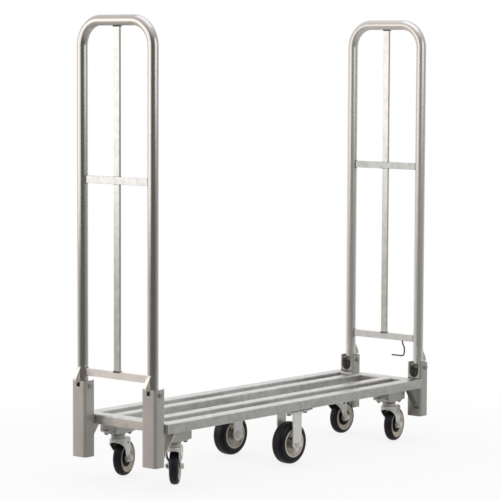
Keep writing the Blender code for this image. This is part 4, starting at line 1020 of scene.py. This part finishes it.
def swivel_fork_mesh(fork_top):
    """Fork in its own frame: swivel axis on Z, wheel trailing towards +X."""
    half, crown_half = FORK_GAP / 2, FORK_CROWN_GAP / 2
    outside, shoulder = half + FORK_SHEET, crown_half + FORK_SHEET
    low = WHEEL_RADIUS - FORK_BOSS - CUT_OVERRUN
    shares = [0.5 - 0.5 * math.cos(math.pi * step / KNEE_STEPS) for step in range(KNEE_STEPS + 1)]
    knee, knee_rise = fork_top - FORK_KNEE_DROP, FORK_KNEE_DROP - FORK_SHOULDER_DROP
    ease = [(share * (crown_half - half), knee + knee_rise * step / KNEE_STEPS)
            for step, share in enumerate(shares)]
    section = [(-outside, low)] + [(-outside - out, level) for out, level in ease]
    section += arc((-shoulder + FORK_BEND, fork_top - FORK_BEND), FORK_BEND, 180, 90, 10)
    section += arc((shoulder - FORK_BEND, fork_top - FORK_BEND), FORK_BEND, 90, 0, 10)
    section += [(outside + out, level) for out, level in ease[::-1]] + [(outside, low)]
    inner = FORK_BEND - FORK_SHEET
    under = fork_top - FORK_SHEET - inner
    section += [(half, low)] + [(half + out, level) for out, level in ease]
    section += arc((crown_half - inner, under), inner, 0, 90, 8)
    section += arc((-crown_half + inner, under), inner, 90, 180, 8)
    section += [(-half - out, level) for out, level in ease[::-1]] + [(-half, low)]
    behind = TRAIL + FORK_BOSS + CUT_OVERRUN
    nose = FORK_ROUND - FORK_FRONT
    channel = prism_mesh(section, nose - 0.0002, behind, "X")
    turned = [(0, fork_top), (FORK_ROUND - FORK_BEND, fork_top)]
    turned += arc((FORK_ROUND - FORK_BEND, fork_top - FORK_BEND), FORK_BEND, 75, 0, 6)
    turned += [(FORK_ROUND, low), (FORK_ROUND - FORK_SHEET, low)]
    turned += arc((FORK_ROUND - FORK_BEND, fork_top - FORK_BEND), inner, 0, 75, 6)
    turned += [(FORK_ROUND - FORK_BEND, fork_top - FORK_SHEET), (0, fork_top - FORK_SHEET)]
    bm = bmesh.new()
    rings = []
    for centre_y, start in ((shoulder - FORK_ROUND, 90), (FORK_ROUND - shoulder, 180)):
        for step in range(NOSE_STEPS + 1):
            angle = math.radians(start + 90 * step / NOSE_STEPS)
            x, y = math.cos(angle), math.sin(angle)
            rings.append([bm.verts.new((nose + out * x, centre_y + out * y, level)) for out, level in turned])
    skin(bm, rings)
    bm.faces.new(rings[0][::-1])
    bm.faces.new(rings[-1])
    bmesh.ops.remove_doubles(bm, verts=bm.verts, dist=1e-6)
    bmesh.ops.dissolve_degenerate(bm, edges=bm.edges, dist=1e-6)
    bmesh.ops.recalc_face_normals(bm, faces=bm.faces)
    pressed_nose = as_mesh(bm, "nose")
    crown = fork_top - FORK_CROWN
    axle = (TRAIL, WHEEL_RADIUS)
    boss = arc(axle, FORK_BOSS, 200, 395, 26)
    side = [(-FORK_FRONT, fork_top + CUT_OVERRUN), (-FORK_FRONT, crown)]
    side += smooth_curve((-FORK_FRONT, crown), (FRONT_EASE[0], fork_top - FRONT_EASE[1]), boss[0], 16)
    side += boss[1:]
    side += smooth_curve(boss[-1], (BACK_EASE[0], fork_top - BACK_EASE[1]), (FORK_BACK, crown), 14)
    side.append((FORK_BACK, fork_top + CUT_OVERRUN))
    reach = shoulder + CUT_OVERRUN
    slot = [(u + SLOT_PLACE[0], v + fork_top - SLOT_PLACE[1]) for u, v in
            rounded_rectangle(SLOT_LENGTH, SLOT_HEIGHT, SLOT_HEIGHT / 2.01, 8)]
    bm = bmesh.new()
    lip = RACE_LIP - RACE_SHEET
    root = fork_top - FORK_SHEET / 2
    race = [(lip, root), (RACE_LIP, root), (RACE_LIP, fork_top + 0.001)]
    race += arc((RACE_RADIUS - 0.0018, fork_top + LOWER_RACE / 2), 0.0018, -60, 60, 6)
    race += [(RACE_LIP, fork_top + LOWER_RACE), (lip, fork_top + LOWER_RACE)]
    add_turned(bm, race, steps=56)
    pin = circle(KINGPIN_RADIUS + KINGPIN_PLAY, 36)
    axle_hole = circle(AXLE_RADIUS + SEAT_GAP, HOLE_SIDES, axle)
    return cut_mesh("swivel_fork", channel, [
        ("UNION", pressed_nose),
        ("INTERSECT", prism_mesh(side, -reach, reach, "Y")),
        ("UNION", as_mesh(bm, "race")),
        ("DIFFERENCE", prism_mesh(pin, fork_top - 2 * FORK_SHEET, fork_top + FORK_SHEET, "Z")),
        ("DIFFERENCE", prism_mesh(axle_hole, -reach, reach, "Y")),
        ("DIFFERENCE", prism_mesh(slot, -reach, reach, "Y"))])


def set_on(mesh, name, material, place, body, slot, *nodes, break_width=0.0):
    """Piece drawn in its own frame, set in its place on a body."""
    piece = shaded(mesh, name, material, break_width)
    piece.matrix_world = place
    fit(piece, body, slot, *nodes)
    return piece


fork_mesh = None
swivels = {}
for end, side in CORNERS:
    plate_low, plate_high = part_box(f"top_plate_{end}_{side}")
    race_top = plate_high.z - PLATE_THICKNESS - RACE_DEPTH - 0.001
    fork_top = race_top - LOWER_RACE
    king = Vector(((plate_low.x + plate_high.x) / 2, (plate_low.y + plate_high.y) / 2, 0))
    axle = centre_of(f"tread_{end}_{side}")
    turn = math.atan2(axle.y - king.y, axle.x - king.x)
    swivels[end, side] = Matrix.Translation(king) @ Matrix.Rotation(turn, 4, "Z")
    fork_mesh = fork_mesh or swivel_fork_mesh(fork_top)
    fork = set_on(fork_mesh, f"fork_stamping_{end}_{side}", fork_zinc, swivels[end, side],
                  f"fork_{end}_{side}", "zinc_steel", f"fork_{end}_{side}", break_width=DEBURR)
    # The inward faces get the near-black painted shade.
    paint_shade_inside(fork, fork_top)

# Axle bolts: a plated hexagon bolt and lock nut through each fork, with a black pressed guard disc on each
# side of the hub to keep thread and wire out. The head's half is coloured bright, painted light on the side
# towards the camera, and the nut's half darker, painted shade on the far side.
AXLE_FLATS = 0.018
AXLE_HEAD = 0.0085
GUARD_RADIUS = 0.0310
GUARD_PLACE = 0.0125


def make_floor_dust():
    """Mask of pale dust and scuffs, strongest where the tread meets the floor."""
    tree, given = shader_group("floor_dust", {
        "Vector": (0, 0, 0), "Size": 0.02, "Amount": 0.5}, ("Dust", "Grit"))
    scale = maths(tree, 1, 0, "DIVIDE", 1.0, given["Size"])
    patch = mapped(tree, 3, 0, noise(tree, 2, 0, given["Vector"], scale, 6.0, roughness=0.66), 0.42, 0.74)
    add_node(tree, "NodeGroupOutput", 5, 0, {
        "Dust": maths(tree, 4, 0, "MULTIPLY", patch, given["Amount"], clamp=True),
        "Grit": noise(tree, 2, 1, given["Vector"], 1400.0, 2.0)})
    return tree


floor_dust = make_floor_dust()


def moulded(name, colour, dusty, smooth, rough, dust=0.5, dust_size=0.02, grit=0.00004, specular=0.5):
    """Rubber or plastic with a fine moulded grain, dust in patches and an uneven sheen."""
    material, tree = new_material(name, Specular_IOR_Level=specular)
    film = add_node(tree, "ShaderNodeGroup", -4, 0, node_tree=floor_dust, inputs={
        "Vector": surface_vector(tree), "Size": dust_size, "Amount": dust}).outputs
    shade = mixed(tree, -3, 0, film["Dust"], colour, dusty)
    dress(tree, shade, film["Dust"], smooth, rough, film["Grit"], grit)
    return material


guard_black = moulded("guard_black", (0.007, 0.007, 0.012), (0.016, 0.016, 0.022), 0.50, 0.70, dust=0.3,
                      dust_size=0.015, specular=0.08)
# Bright plating. On the swivel axle bolts it also serves as painted light on the side towards the camera.
bright_plating_and_painted_light = metal("bright_plating_and_painted_light", (0.90, 0.895, 0.88), (0.70, 0.695, 0.68), 0.22, 0.38, (260, 260, 260),
                   clouds=1.2, streaks=0.5, cloud_size=0.02, rub=0.9, shine=SHINE_LEFT)


ALONG_Y = toward((0, 1, 0), (0, 0, 0))


def axle_meshes():
    """Bolt with head, nut and threaded tip, and the pair of guard discs; the axle runs along +Y."""
    outside = FORK_GAP / 2 + FORK_SHEET + 2 * TOUCH_GAP
    bm = bmesh.new()
    left, right = toward((0, -1, 0), (0, -outside, 0)), toward((0, 1, 0), (0, outside, 0))
    add_hexagon(bm, AXLE_FLATS, AXLE_HEAD, left, 0.3)
    add_hexagon(bm, AXLE_FLATS, AXLE_HEAD * 0.92, right, 0.1)
    add_thread(bm, AXLE_RADIUS, FINE_PITCH, 0, AXLE_HEAD + AXLE_RADIUS / 2, right)
    add_rod(bm, AXLE_RADIUS, -outside, outside, ALONG_Y)
    bolt = as_mesh(bm, "axle_bolt")
    bm = bmesh.new()
    for sign in (-1, 1):
        at = toward((0, -sign, 0), (0, sign * GUARD_PLACE, 0))
        disc = [(AXLE_RADIUS, 0), (GUARD_RADIUS * 0.62, 0), (GUARD_RADIUS * 0.70, 0.0008),
                (GUARD_RADIUS - 0.0006, 0.0008), (GUARD_RADIUS, 0.0014), (GUARD_RADIUS, 0.0026),
                (GUARD_RADIUS - 0.001, 0.0026), (GUARD_RADIUS - 0.0012, 0.0016),
                (GUARD_RADIUS * 0.70, 0.0016), (GUARD_RADIUS * 0.62, 0.0010), (AXLE_RADIUS, 0.0010)]
        add_turned(bm, disc, at, 56)
    return bolt, as_mesh(bm, "guards")


axle_bolt_mesh, guard_mesh = axle_meshes()
axles = {}
for end, side in CORNERS:
    at_axle = axles[end, side] = swivels[end, side] @ Matrix.Translation((TRAIL, 0, WHEEL_RADIUS))
    set_on(axle_bolt_mesh, f"axle_bolt_{end}_{side}", bright_plating_and_painted_light, at_axle, f"fork_{end}_{side}",
           "bolt_steel", f"axle_{end}_{side}")
    set_on(guard_mesh, f"thread_guards_{end}_{side}", guard_black, at_axle, f"fork_{end}_{side}",
           "dark_steel")
# Painted light and shade: the half with the head, towards the camera, keeps the bright colour, and the far
# half with the nut takes the darker bolt colour.
axle_bolt_mesh.materials.append(bolt_metal)
for face in axle_bolt_mesh.polygons:
    face.material_index = 1 if face.center.y > 0 else 0

# Swivel treads: black rubber moulded round the hub, with round shoulders, a fine mould line round the
# middle and a dusty, slightly scuffed running face.
TREAD_WIDTH = 0.032
TREAD_DEPTH = 0.0130
TREAD_ROUND = 0.0125
WHEEL_STEPS = 96


def tread_profile(radius, width, depth, rounding, line=0.0004):
    """Section of a tread: flat bore, round shoulders, side ring and the mould line."""
    half = width / 2
    crown = radius - line
    profile = [(radius - depth, -half + 0.0004), (radius - depth + 0.0006, -half)]
    profile += [(r, a) for a, r in arc((-half + rounding, crown - rounding), rounding, 180, 90, 12)]
    profile += [(crown, -0.0007), (radius, -0.0003), (radius, 0.0003), (crown, 0.0007)]
    profile += [(r, a) for a, r in arc((half - rounding, crown - rounding), rounding, 90, 0, 12)]
    profile += [(radius - depth + 0.0006, half), (radius - depth, half - 0.0004)]
    return profile


rubber = moulded("tread_rubber", (0.0135, 0.0135, 0.0215), (0.036, 0.036, 0.046), 0.40, 0.64, dust=0.35,
                 specular=0.28)
bm = bmesh.new()
add_turned(bm, tread_profile(WHEEL_RADIUS, TREAD_WIDTH, TREAD_DEPTH, TREAD_ROUND), ALONG_Y, WHEEL_STEPS)
tread_mesh = as_mesh(bm, "tread")
for end, side in CORNERS:
    set_on(tread_mesh, f"rubber_tread_{end}_{side}", rubber, axles[end, side], f"wheel_{end}_{side}",
           "tread_rubber", f"tread_{end}_{side}")

# Swivel hubs: cream moulded plastic, plainly dished between a thin rim and a long boss round the
# axle, with a dusty web. Each is moulded in one piece and turns on the axle bolt.
HUB_RIM = 0.0502
HUB_LIP = 0.0024
HUB_RECESS = 0.0075
HUB_FOOT = 0.034
HUB_BOSS = 0.016
HUB_BOSS_HALF = 0.016


def dished_hub(rim, half, lip, recess, foot, boss, boss_half, bore):
    """Wheel centre along +Y: rim ring, cone down to a recessed web, and a boss."""
    soft = 0.0006
    web = half - recess
    profile = [(bore, -boss_half), (boss - soft, -boss_half), (boss, -boss_half + soft)]
    profile += [(boss + 0.0004, -web - soft), (boss + 0.0012, -web), (foot - 0.001, -web),
                (foot, -web - soft / 2), (rim - lip - soft, -half + soft), (rim - lip, -half),
                (rim - soft, -half), (rim, -half + soft)]
    profile += [(radius, -height) for radius, height in reversed(profile)]
    bm = bmesh.new()
    add_turned(bm, profile, ALONG_Y, WHEEL_STEPS)
    return as_mesh(bm, "hub")


hub_cream = moulded("hub_plastic", (0.70, 0.63, 0.54), (0.50, 0.44, 0.37), 0.34, 0.52, dust=0.6,
                    dust_size=0.014)
hub_mesh = dished_hub(HUB_RIM, TREAD_WIDTH / 2 - SEAT_GAP, HUB_LIP, HUB_RECESS, HUB_FOOT, HUB_BOSS,
                      HUB_BOSS_HALF, AXLE_RADIUS + SEAT_GAP)
for end, side in CORNERS:
    set_on(hub_mesh, f"wheel_centre_{end}_{side}", hub_cream, axles[end, side], f"wheel_{end}_{side}",
           "hub_plastic", f"hub_{end}_{side}")

# Rigid forks: heavier plated steel, with flat round-ended legs folded down from a square plate that
# is bolted under the cross plate.
RIGID_SHEET = 0.005
RIGID_GAP = 0.068
RIGID_LEG = 0.046
RIGID_LEG_DROP = 0.0195
RIGID_LEG_CORNER = 0.018
RIGID_FLARE = 0.012
RIGID_BEND = 0.008
RIGID_RADIUS = 0.0762
RIGID_AXLE = 0.00635
RIGID_PLATE_ROUND = 0.008
RIGID_EDGE_BREAK = 0.0007
RIGID_BOLT_INSET = 0.0145
RIGID_BOLT_FLATS = 0.015
RIGID_BOLT_HEAD = 0.0062
rigid_zinc = metal("rigid_fork_zinc", (0.97, 0.98, 0.955), (0.86, 0.87, 0.845), 0.24, 0.40,
                   (150, 150, 150), clouds=0.9, streaks=0.35, cloud_size=0.035, rub=0.8,
                   shine=0.35)


def rigid_fork_mesh(top, plate_length, plate_width):
    half = RIGID_GAP / 2
    outside = half + RIGID_SHEET
    end = RIGID_RADIUS - RIGID_LEG_DROP
    low = end - CUT_OVERRUN
    section = [(-outside, low)] + arc((-outside + RIGID_BEND, top - RIGID_BEND), RIGID_BEND, 180, 90, 10)
    section += arc((outside - RIGID_BEND, top - RIGID_BEND), RIGID_BEND, 90, 0, 10) + [(outside, low)]
    inner = RIGID_BEND - RIGID_SHEET
    under = top - RIGID_SHEET - inner
    section += [(half, low)] + arc((half - inner, under), inner, 0, 90, 6)
    section += arc((-half + inner, under), inner, 90, 180, 6) + [(-half, low)]
    leg = RIGID_LEG / 2
    wide = leg + RIGID_FLARE
    neck = top - RIGID_SHEET - RIGID_FLARE
    across, turn_level = leg - RIGID_LEG_CORNER, end + RIGID_LEG_CORNER
    side = arc((-across, turn_level), RIGID_LEG_CORNER, 180, 270, 14)
    side += arc((across, turn_level), RIGID_LEG_CORNER, 270, 360, 14) + [(leg, neck)]
    side += smooth_curve((leg, neck), (leg, neck + RIGID_FLARE / 2), (wide, top - RIGID_SHEET), 10)
    side += [(wide, top + CUT_OVERRUN), (-wide, top + CUT_OVERRUN), (-wide, top - RIGID_SHEET)]
    side += smooth_curve((-wide, top - RIGID_SHEET), (-leg, neck + RIGID_FLARE / 2), (-leg, neck), 10)
    reach = outside + CUT_OVERRUN
    channel = prism_mesh(section, -wide - CUT_OVERRUN, wide + CUT_OVERRUN, "X")
    plate = prism_mesh(rounded_rectangle(plate_length, plate_width, RIGID_PLATE_ROUND, 9), top - RIGID_SHEET,
                       top, "Z")
    hole = circle(RIGID_AXLE + SEAT_GAP, 36, (0, RIGID_RADIUS))
    return cut_mesh("rigid_fork", channel, [
        ("INTERSECT", prism_mesh(side, -reach, reach, "Y")),
        ("UNION", plate),
        ("DIFFERENCE", prism_mesh(hole, -reach, reach, "Y"))])


rigid_fork = None
rigid_places = {}
for side in SIDES:
    low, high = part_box("rigid_fork_" + side)
    place = Vector(((low.x + high.x) / 2, (low.y + high.y) / 2, 0))
    rigid_places[side] = place
    rigid_fork = rigid_fork or rigid_fork_mesh(high.z, high.x - low.x, high.y - low.y)
    set_on(rigid_fork, "fixed_fork_" + side, rigid_zinc, Matrix.Translation(place), "deck", "zinc_steel",
           "rigid_fork_" + side, break_width=RIGID_EDGE_BREAK)
    bm = bmesh.new()
    for turn, x, y in plate_bolts(low, high, RIGID_BOLT_INSET, 1.0, 0.6):
        under = toward((0, 0, -1), (x, y, high.z - RIGID_SHEET - TOUCH_GAP))
        add_washer(bm, WASHER_RADIUS, PIVOT_SHANK, WASHER_THICKNESS, under)
        lift = under @ Matrix.Translation((0, 0, WASHER_THICKNESS + TOUCH_GAP))
        add_hexagon(bm, RIGID_BOLT_FLATS, RIGID_BOLT_HEAD, lift, turn)
    fit(finished(bm, "fixed_fork_bolts_" + side, bolt_metal), "deck", "bolt_steel")

# Rigid axles: a thick bolt across each fixed fork with a large hexagon nut at both ends, plated
# bright like the swivel casters' axle bolts.
RIGID_NUT = 0.0265
RIGID_NUT_HEIGHT = 0.0105
RIGID_PITCH = 0.00175
outside = RIGID_GAP / 2 + RIGID_SHEET + 2 * TOUCH_GAP
bm = bmesh.new()
add_rod(bm, RIGID_AXLE, -outside, outside, ALONG_Y)
add_hexagon(bm, RIGID_NUT, RIGID_NUT_HEIGHT, toward((0, -1, 0), (0, -outside, 0)), 0.15)
nut_side = toward((0, 1, 0), (0, outside, 0))
add_hexagon(bm, RIGID_NUT, RIGID_NUT_HEIGHT * 0.95, nut_side, 0.35)
add_thread(bm, RIGID_AXLE, RIGID_PITCH, 0, RIGID_NUT_HEIGHT + RIGID_AXLE / 2, nut_side)
rigid_axle_mesh = as_mesh(bm, "rigid_axle")
rigid_axles = {}
for side in SIDES:
    rigid_axles[side] = Matrix.Translation(rigid_places[side] + Vector((0, 0, RIGID_RADIUS)))
    set_on(rigid_axle_mesh, "fixed_axle_" + side, bright_plating_and_painted_light, rigid_axles[side], "deck", "bolt_steel",
           "rigid_axle_" + side)

# Rigid treads: thick black rubber tyres with fully rounded shoulders, on a cast centre with a pale
# rim ring.
RIGID_TREAD_WIDTH = 0.050
RIGID_TREAD_DEPTH = 0.024
RIGID_TREAD_ROUND = 0.016
RIGID_RIM = 0.0519
RIM_BAND = 0.0065
RIM_RECESS = 0.014
RIM_BOSS = 0.019
RIM_FOOT = 0.031
RING_DEPTH = 0.005
rigid_rubber = moulded("rigid_tread_rubber", (0.0105, 0.0105, 0.0185), (0.032, 0.032, 0.042), 0.32, 0.58,
                       dust=0.25, specular=0.3)
bm = bmesh.new()
add_turned(bm, tread_profile(RIGID_RADIUS, RIGID_TREAD_WIDTH, RIGID_TREAD_DEPTH, RIGID_TREAD_ROUND),
           ALONG_Y, WHEEL_STEPS)
rigid_tread_mesh = as_mesh(bm, "rigid_tread")
rim_cast = metal("cast_centre", (0.66, 0.62, 0.57), (0.42, 0.39, 0.35), 0.30, 0.52, (120, 120, 120),
                 clouds=1.6, streaks=0.6, cloud_size=0.014, rub=1.0, bump=0.00012)
rim_cream = moulded("rim_cream", (0.76, 0.69, 0.61), (0.58, 0.52, 0.45), 0.30, 0.50, dust_size=0.014)
rim_face = RIGID_TREAD_WIDTH / 2 - SEAT_GAP
rigid_hub_mesh = dished_hub(RIGID_RIM, rim_face - RING_DEPTH, RIM_BAND, RIM_RECESS - RING_DEPTH, RIM_FOOT,
                            RIM_BOSS, RIGID_GAP / 2 - 0.0006, RIGID_AXLE + SEAT_GAP)
bm = bmesh.new()
for sign in (-1, 1):
    ring = [(RIGID_RIM - RIM_BAND - 0.0004, -RING_DEPTH), (RIGID_RIM, -RING_DEPTH), (RIGID_RIM, -0.0010),
            (RIGID_RIM - 0.0010, 0), (RIGID_RIM - RIM_BAND + 0.0012, 0), (RIGID_RIM - RIM_BAND, -0.0012)]
    add_turned(bm, ring, toward((0, sign, 0), (0, sign * rim_face, 0)), WHEEL_STEPS)
rim_ring_mesh = as_mesh(bm, "rim_ring")
for side in SIDES:
    place, body = rigid_axles[side], "rigid_wheel_" + side
    set_on(rigid_tread_mesh, "rigid_rubber_tread_" + side, rigid_rubber, place, body, "tread_rubber",
           "rigid_tread_" + side)
    set_on(rigid_hub_mesh, "cast_wheel_centre_" + side, rim_cast, place, body, "rim_metal",
           "rigid_hub_" + side)
    set_on(rim_ring_mesh, "rim_ring_" + side, rim_cream, place, body, "hub_plastic")

# Camera: a long lens from the front left corner of the cart, looking slightly down from a little
# above the deck. Its place was worked out from the cart's own edges.
CAMERA_PLACE = (-6.2884, -5.3003, 1.4702)
CAMERA_YAW = 49.6131
CAMERA_PITCH = 4.9343
CAMERA_ROLL = 0.2438
SENSOR = 36.0
PIXEL_FOCAL = 2292.98
PHOTO_WIDTH = 500
yaw, pitch, roll = (math.radians(angle) for angle in (CAMERA_YAW, CAMERA_PITCH, CAMERA_ROLL))
forward = Vector((math.sin(yaw) * math.cos(pitch), math.cos(yaw) * math.cos(pitch), -math.sin(pitch)))
level_right = Vector((math.cos(yaw), -math.sin(yaw), 0))
level_up = level_right.cross(forward)
right = math.cos(roll) * level_right + math.sin(roll) * level_up
up = -math.sin(roll) * level_right + math.cos(roll) * level_up
lens = bpy.data.cameras.new("camera")
lens.sensor_width = SENSOR
lens.lens = PIXEL_FOCAL * SENSOR / PHOTO_WIDTH
lens.clip_end = 100
camera = bpy.data.objects.new("camera", lens)
camera.matrix_world = Matrix.Translation(CAMERA_PLACE) @ Matrix((right, up, -forward)).transposed().to_4x4()
bpy.context.scene.collection.objects.link(camera)
bpy.context.scene.camera = camera

# Studio: a tall warm soft box left of the camera, a smaller one high on its right and one above. The
# bare metal mirrors the dark space behind the camera between them.
scene = bpy.context.scene
scene.view_settings.view_transform = "Standard"
FAR = Vector((0.762, 0.648, 0))
LEFT = Vector((-0.648, 0.762, 0))


def beside_camera(turn, distance, level):
    """Place at an angle from the camera's own side, to its left where the angle is positive."""
    angle = math.radians(turn)
    return distance * (math.sin(angle) * LEFT - math.cos(angle) * FAR) + Vector((0, 0, level))


def soft_box(name, place, target, width, height, level, colour):
    """Area lamp whose face has a given brightness, where 1 is white."""
    lamp = bpy.data.lights.new(name, "AREA")
    lamp.shape = "RECTANGLE"
    lamp.size, lamp.size_y = width, height
    lamp.energy = level * math.pi * width * height
    lamp.color = colour
    box = bpy.data.objects.new(name, lamp)
    box.location = place
    box.rotation_euler = (Vector(target) - Vector(place)).to_track_quat("-Z", "Y").to_euler()
    bpy.context.scene.collection.objects.link(box)
    return box


soft_box("soft_box_left", beside_camera(66, 3.4, 1.65), (0, 0, 1.5), 3.6, 2.0, 1.0, (1.0, 0.965, 0.93))
soft_box("soft_box_right", beside_camera(-50, 3.2, 2.0), (0, 0, 1.75), 2.7, 1.7, 1.1, (1.0, 0.95, 0.90))
soft_box("soft_box_above", (0, 0, 4.2), (0, 0, 0), 3.0, 3.0, 0.6, (1.0, 1.0, 1.0))

# Room: what the bare metal mirrors, brightest to the left and beyond the cart and dark behind the
# camera. Where the camera itself looks past the cart, the backdrop is plain white.
world = bpy.data.worlds.new("studio")
world.use_nodes = True
scene.world = world
tree = world.node_tree
background = tree.nodes["Background"]
direction = add_node(tree, "ShaderNodeTexCoord", -9, 0).outputs["Generated"]


def facing(axis_vector, row, low, high):
    """Share from 0 to 1 that grows as a direction turns towards an axis."""
    along_axis = add_node(tree, "ShaderNodeVectorMath", -8, row, {0: direction, 1: tuple(axis_vector)},
                          operation="DOT_PRODUCT")
    return mapped(tree, -7, row, along_axis.outputs["Value"], low, high, smooth=True)


side_walls = mixed(tree, -6, 1, facing(LEFT, 1, -0.35, 0.75), (0.44, 0.452, 0.425), (0.75, 0.675, 0.61))
walls = mixed(tree, -5, 1, facing(FAR, 0, -0.85, 0.30), (0.14, 0.135, 0.125), side_walls)
room = mixed(tree, -4, 1, facing(FAR, 2, 0.30, 0.90), walls, (0.93, 0.93, 0.93))
lower = mixed(tree, -3, 1, facing((0, 0, -1), 3, 0.25, 0.90), room, (0.42, 0.41, 0.40))
whole = mixed(tree, -2, 1, facing((0, 0, 1), 4, 0.25, 0.90), lower, (0.75, 0.75, 0.75))
path_kind = add_node(tree, "ShaderNodeLightPath", -2, 3)
shown = mixed(tree, -1, 1, path_kind.outputs["Is Camera Ray"], whole, (1.0, 1.0, 1.0))
tree.links.new(shown, background.inputs["Color"])
background.inputs["Strength"].default_value = 1.0

# Floor: a wide white sheet under the cart that keeps its shadow near the wheels and fades to plain
# white further out.
FLOOR_HALF = 14.0
FADE_START = 0.7
FADE_END = 2.0
WHITE_UNDER = 0.85
bm = bmesh.new()
corners = ((-1, -1), (1, -1), (1, 1), (-1, 1))
bm.faces.new([bm.verts.new((x * FLOOR_HALF, y * FLOOR_HALF, 0)) for x, y in corners])
floor_material, tree = new_material("sweep", Base_Color=(0.93, 0.93, 0.93, 1.0), Roughness=0.9,
                                    Specular_IOR_Level=0.0)
white = add_node(tree, "ShaderNodeEmission", 0, 2, {"Color": (1, 1, 1, 1), "Strength": 1.0})
spot = add_node(tree, "ShaderNodeTexCoord", -4, 2).outputs["Object"]
away = add_node(tree, "ShaderNodeVectorMath", -3, 2, {0: spot}, operation="LENGTH").outputs["Value"]
fade = mapped(tree, -2, 2, away, FADE_START, FADE_END, start=WHITE_UNDER, smooth=True)
seen = add_node(tree, "ShaderNodeLightPath", -2, 3).outputs["Is Camera Ray"]
laid = add_node(tree, "ShaderNodeMixShader", 1, 1, {
    0: maths(tree, -1, 2, "MULTIPLY", fade, seen), 1: tree.nodes["Principled BSDF"].outputs["BSDF"],
    2: white.outputs["Emission"]})
tree.links.new(laid.outputs[0], tree.nodes["Material Output"].inputs["Surface"])
floor = finished(bm, "sweep_floor", floor_material)
floor.visible_glossy = False
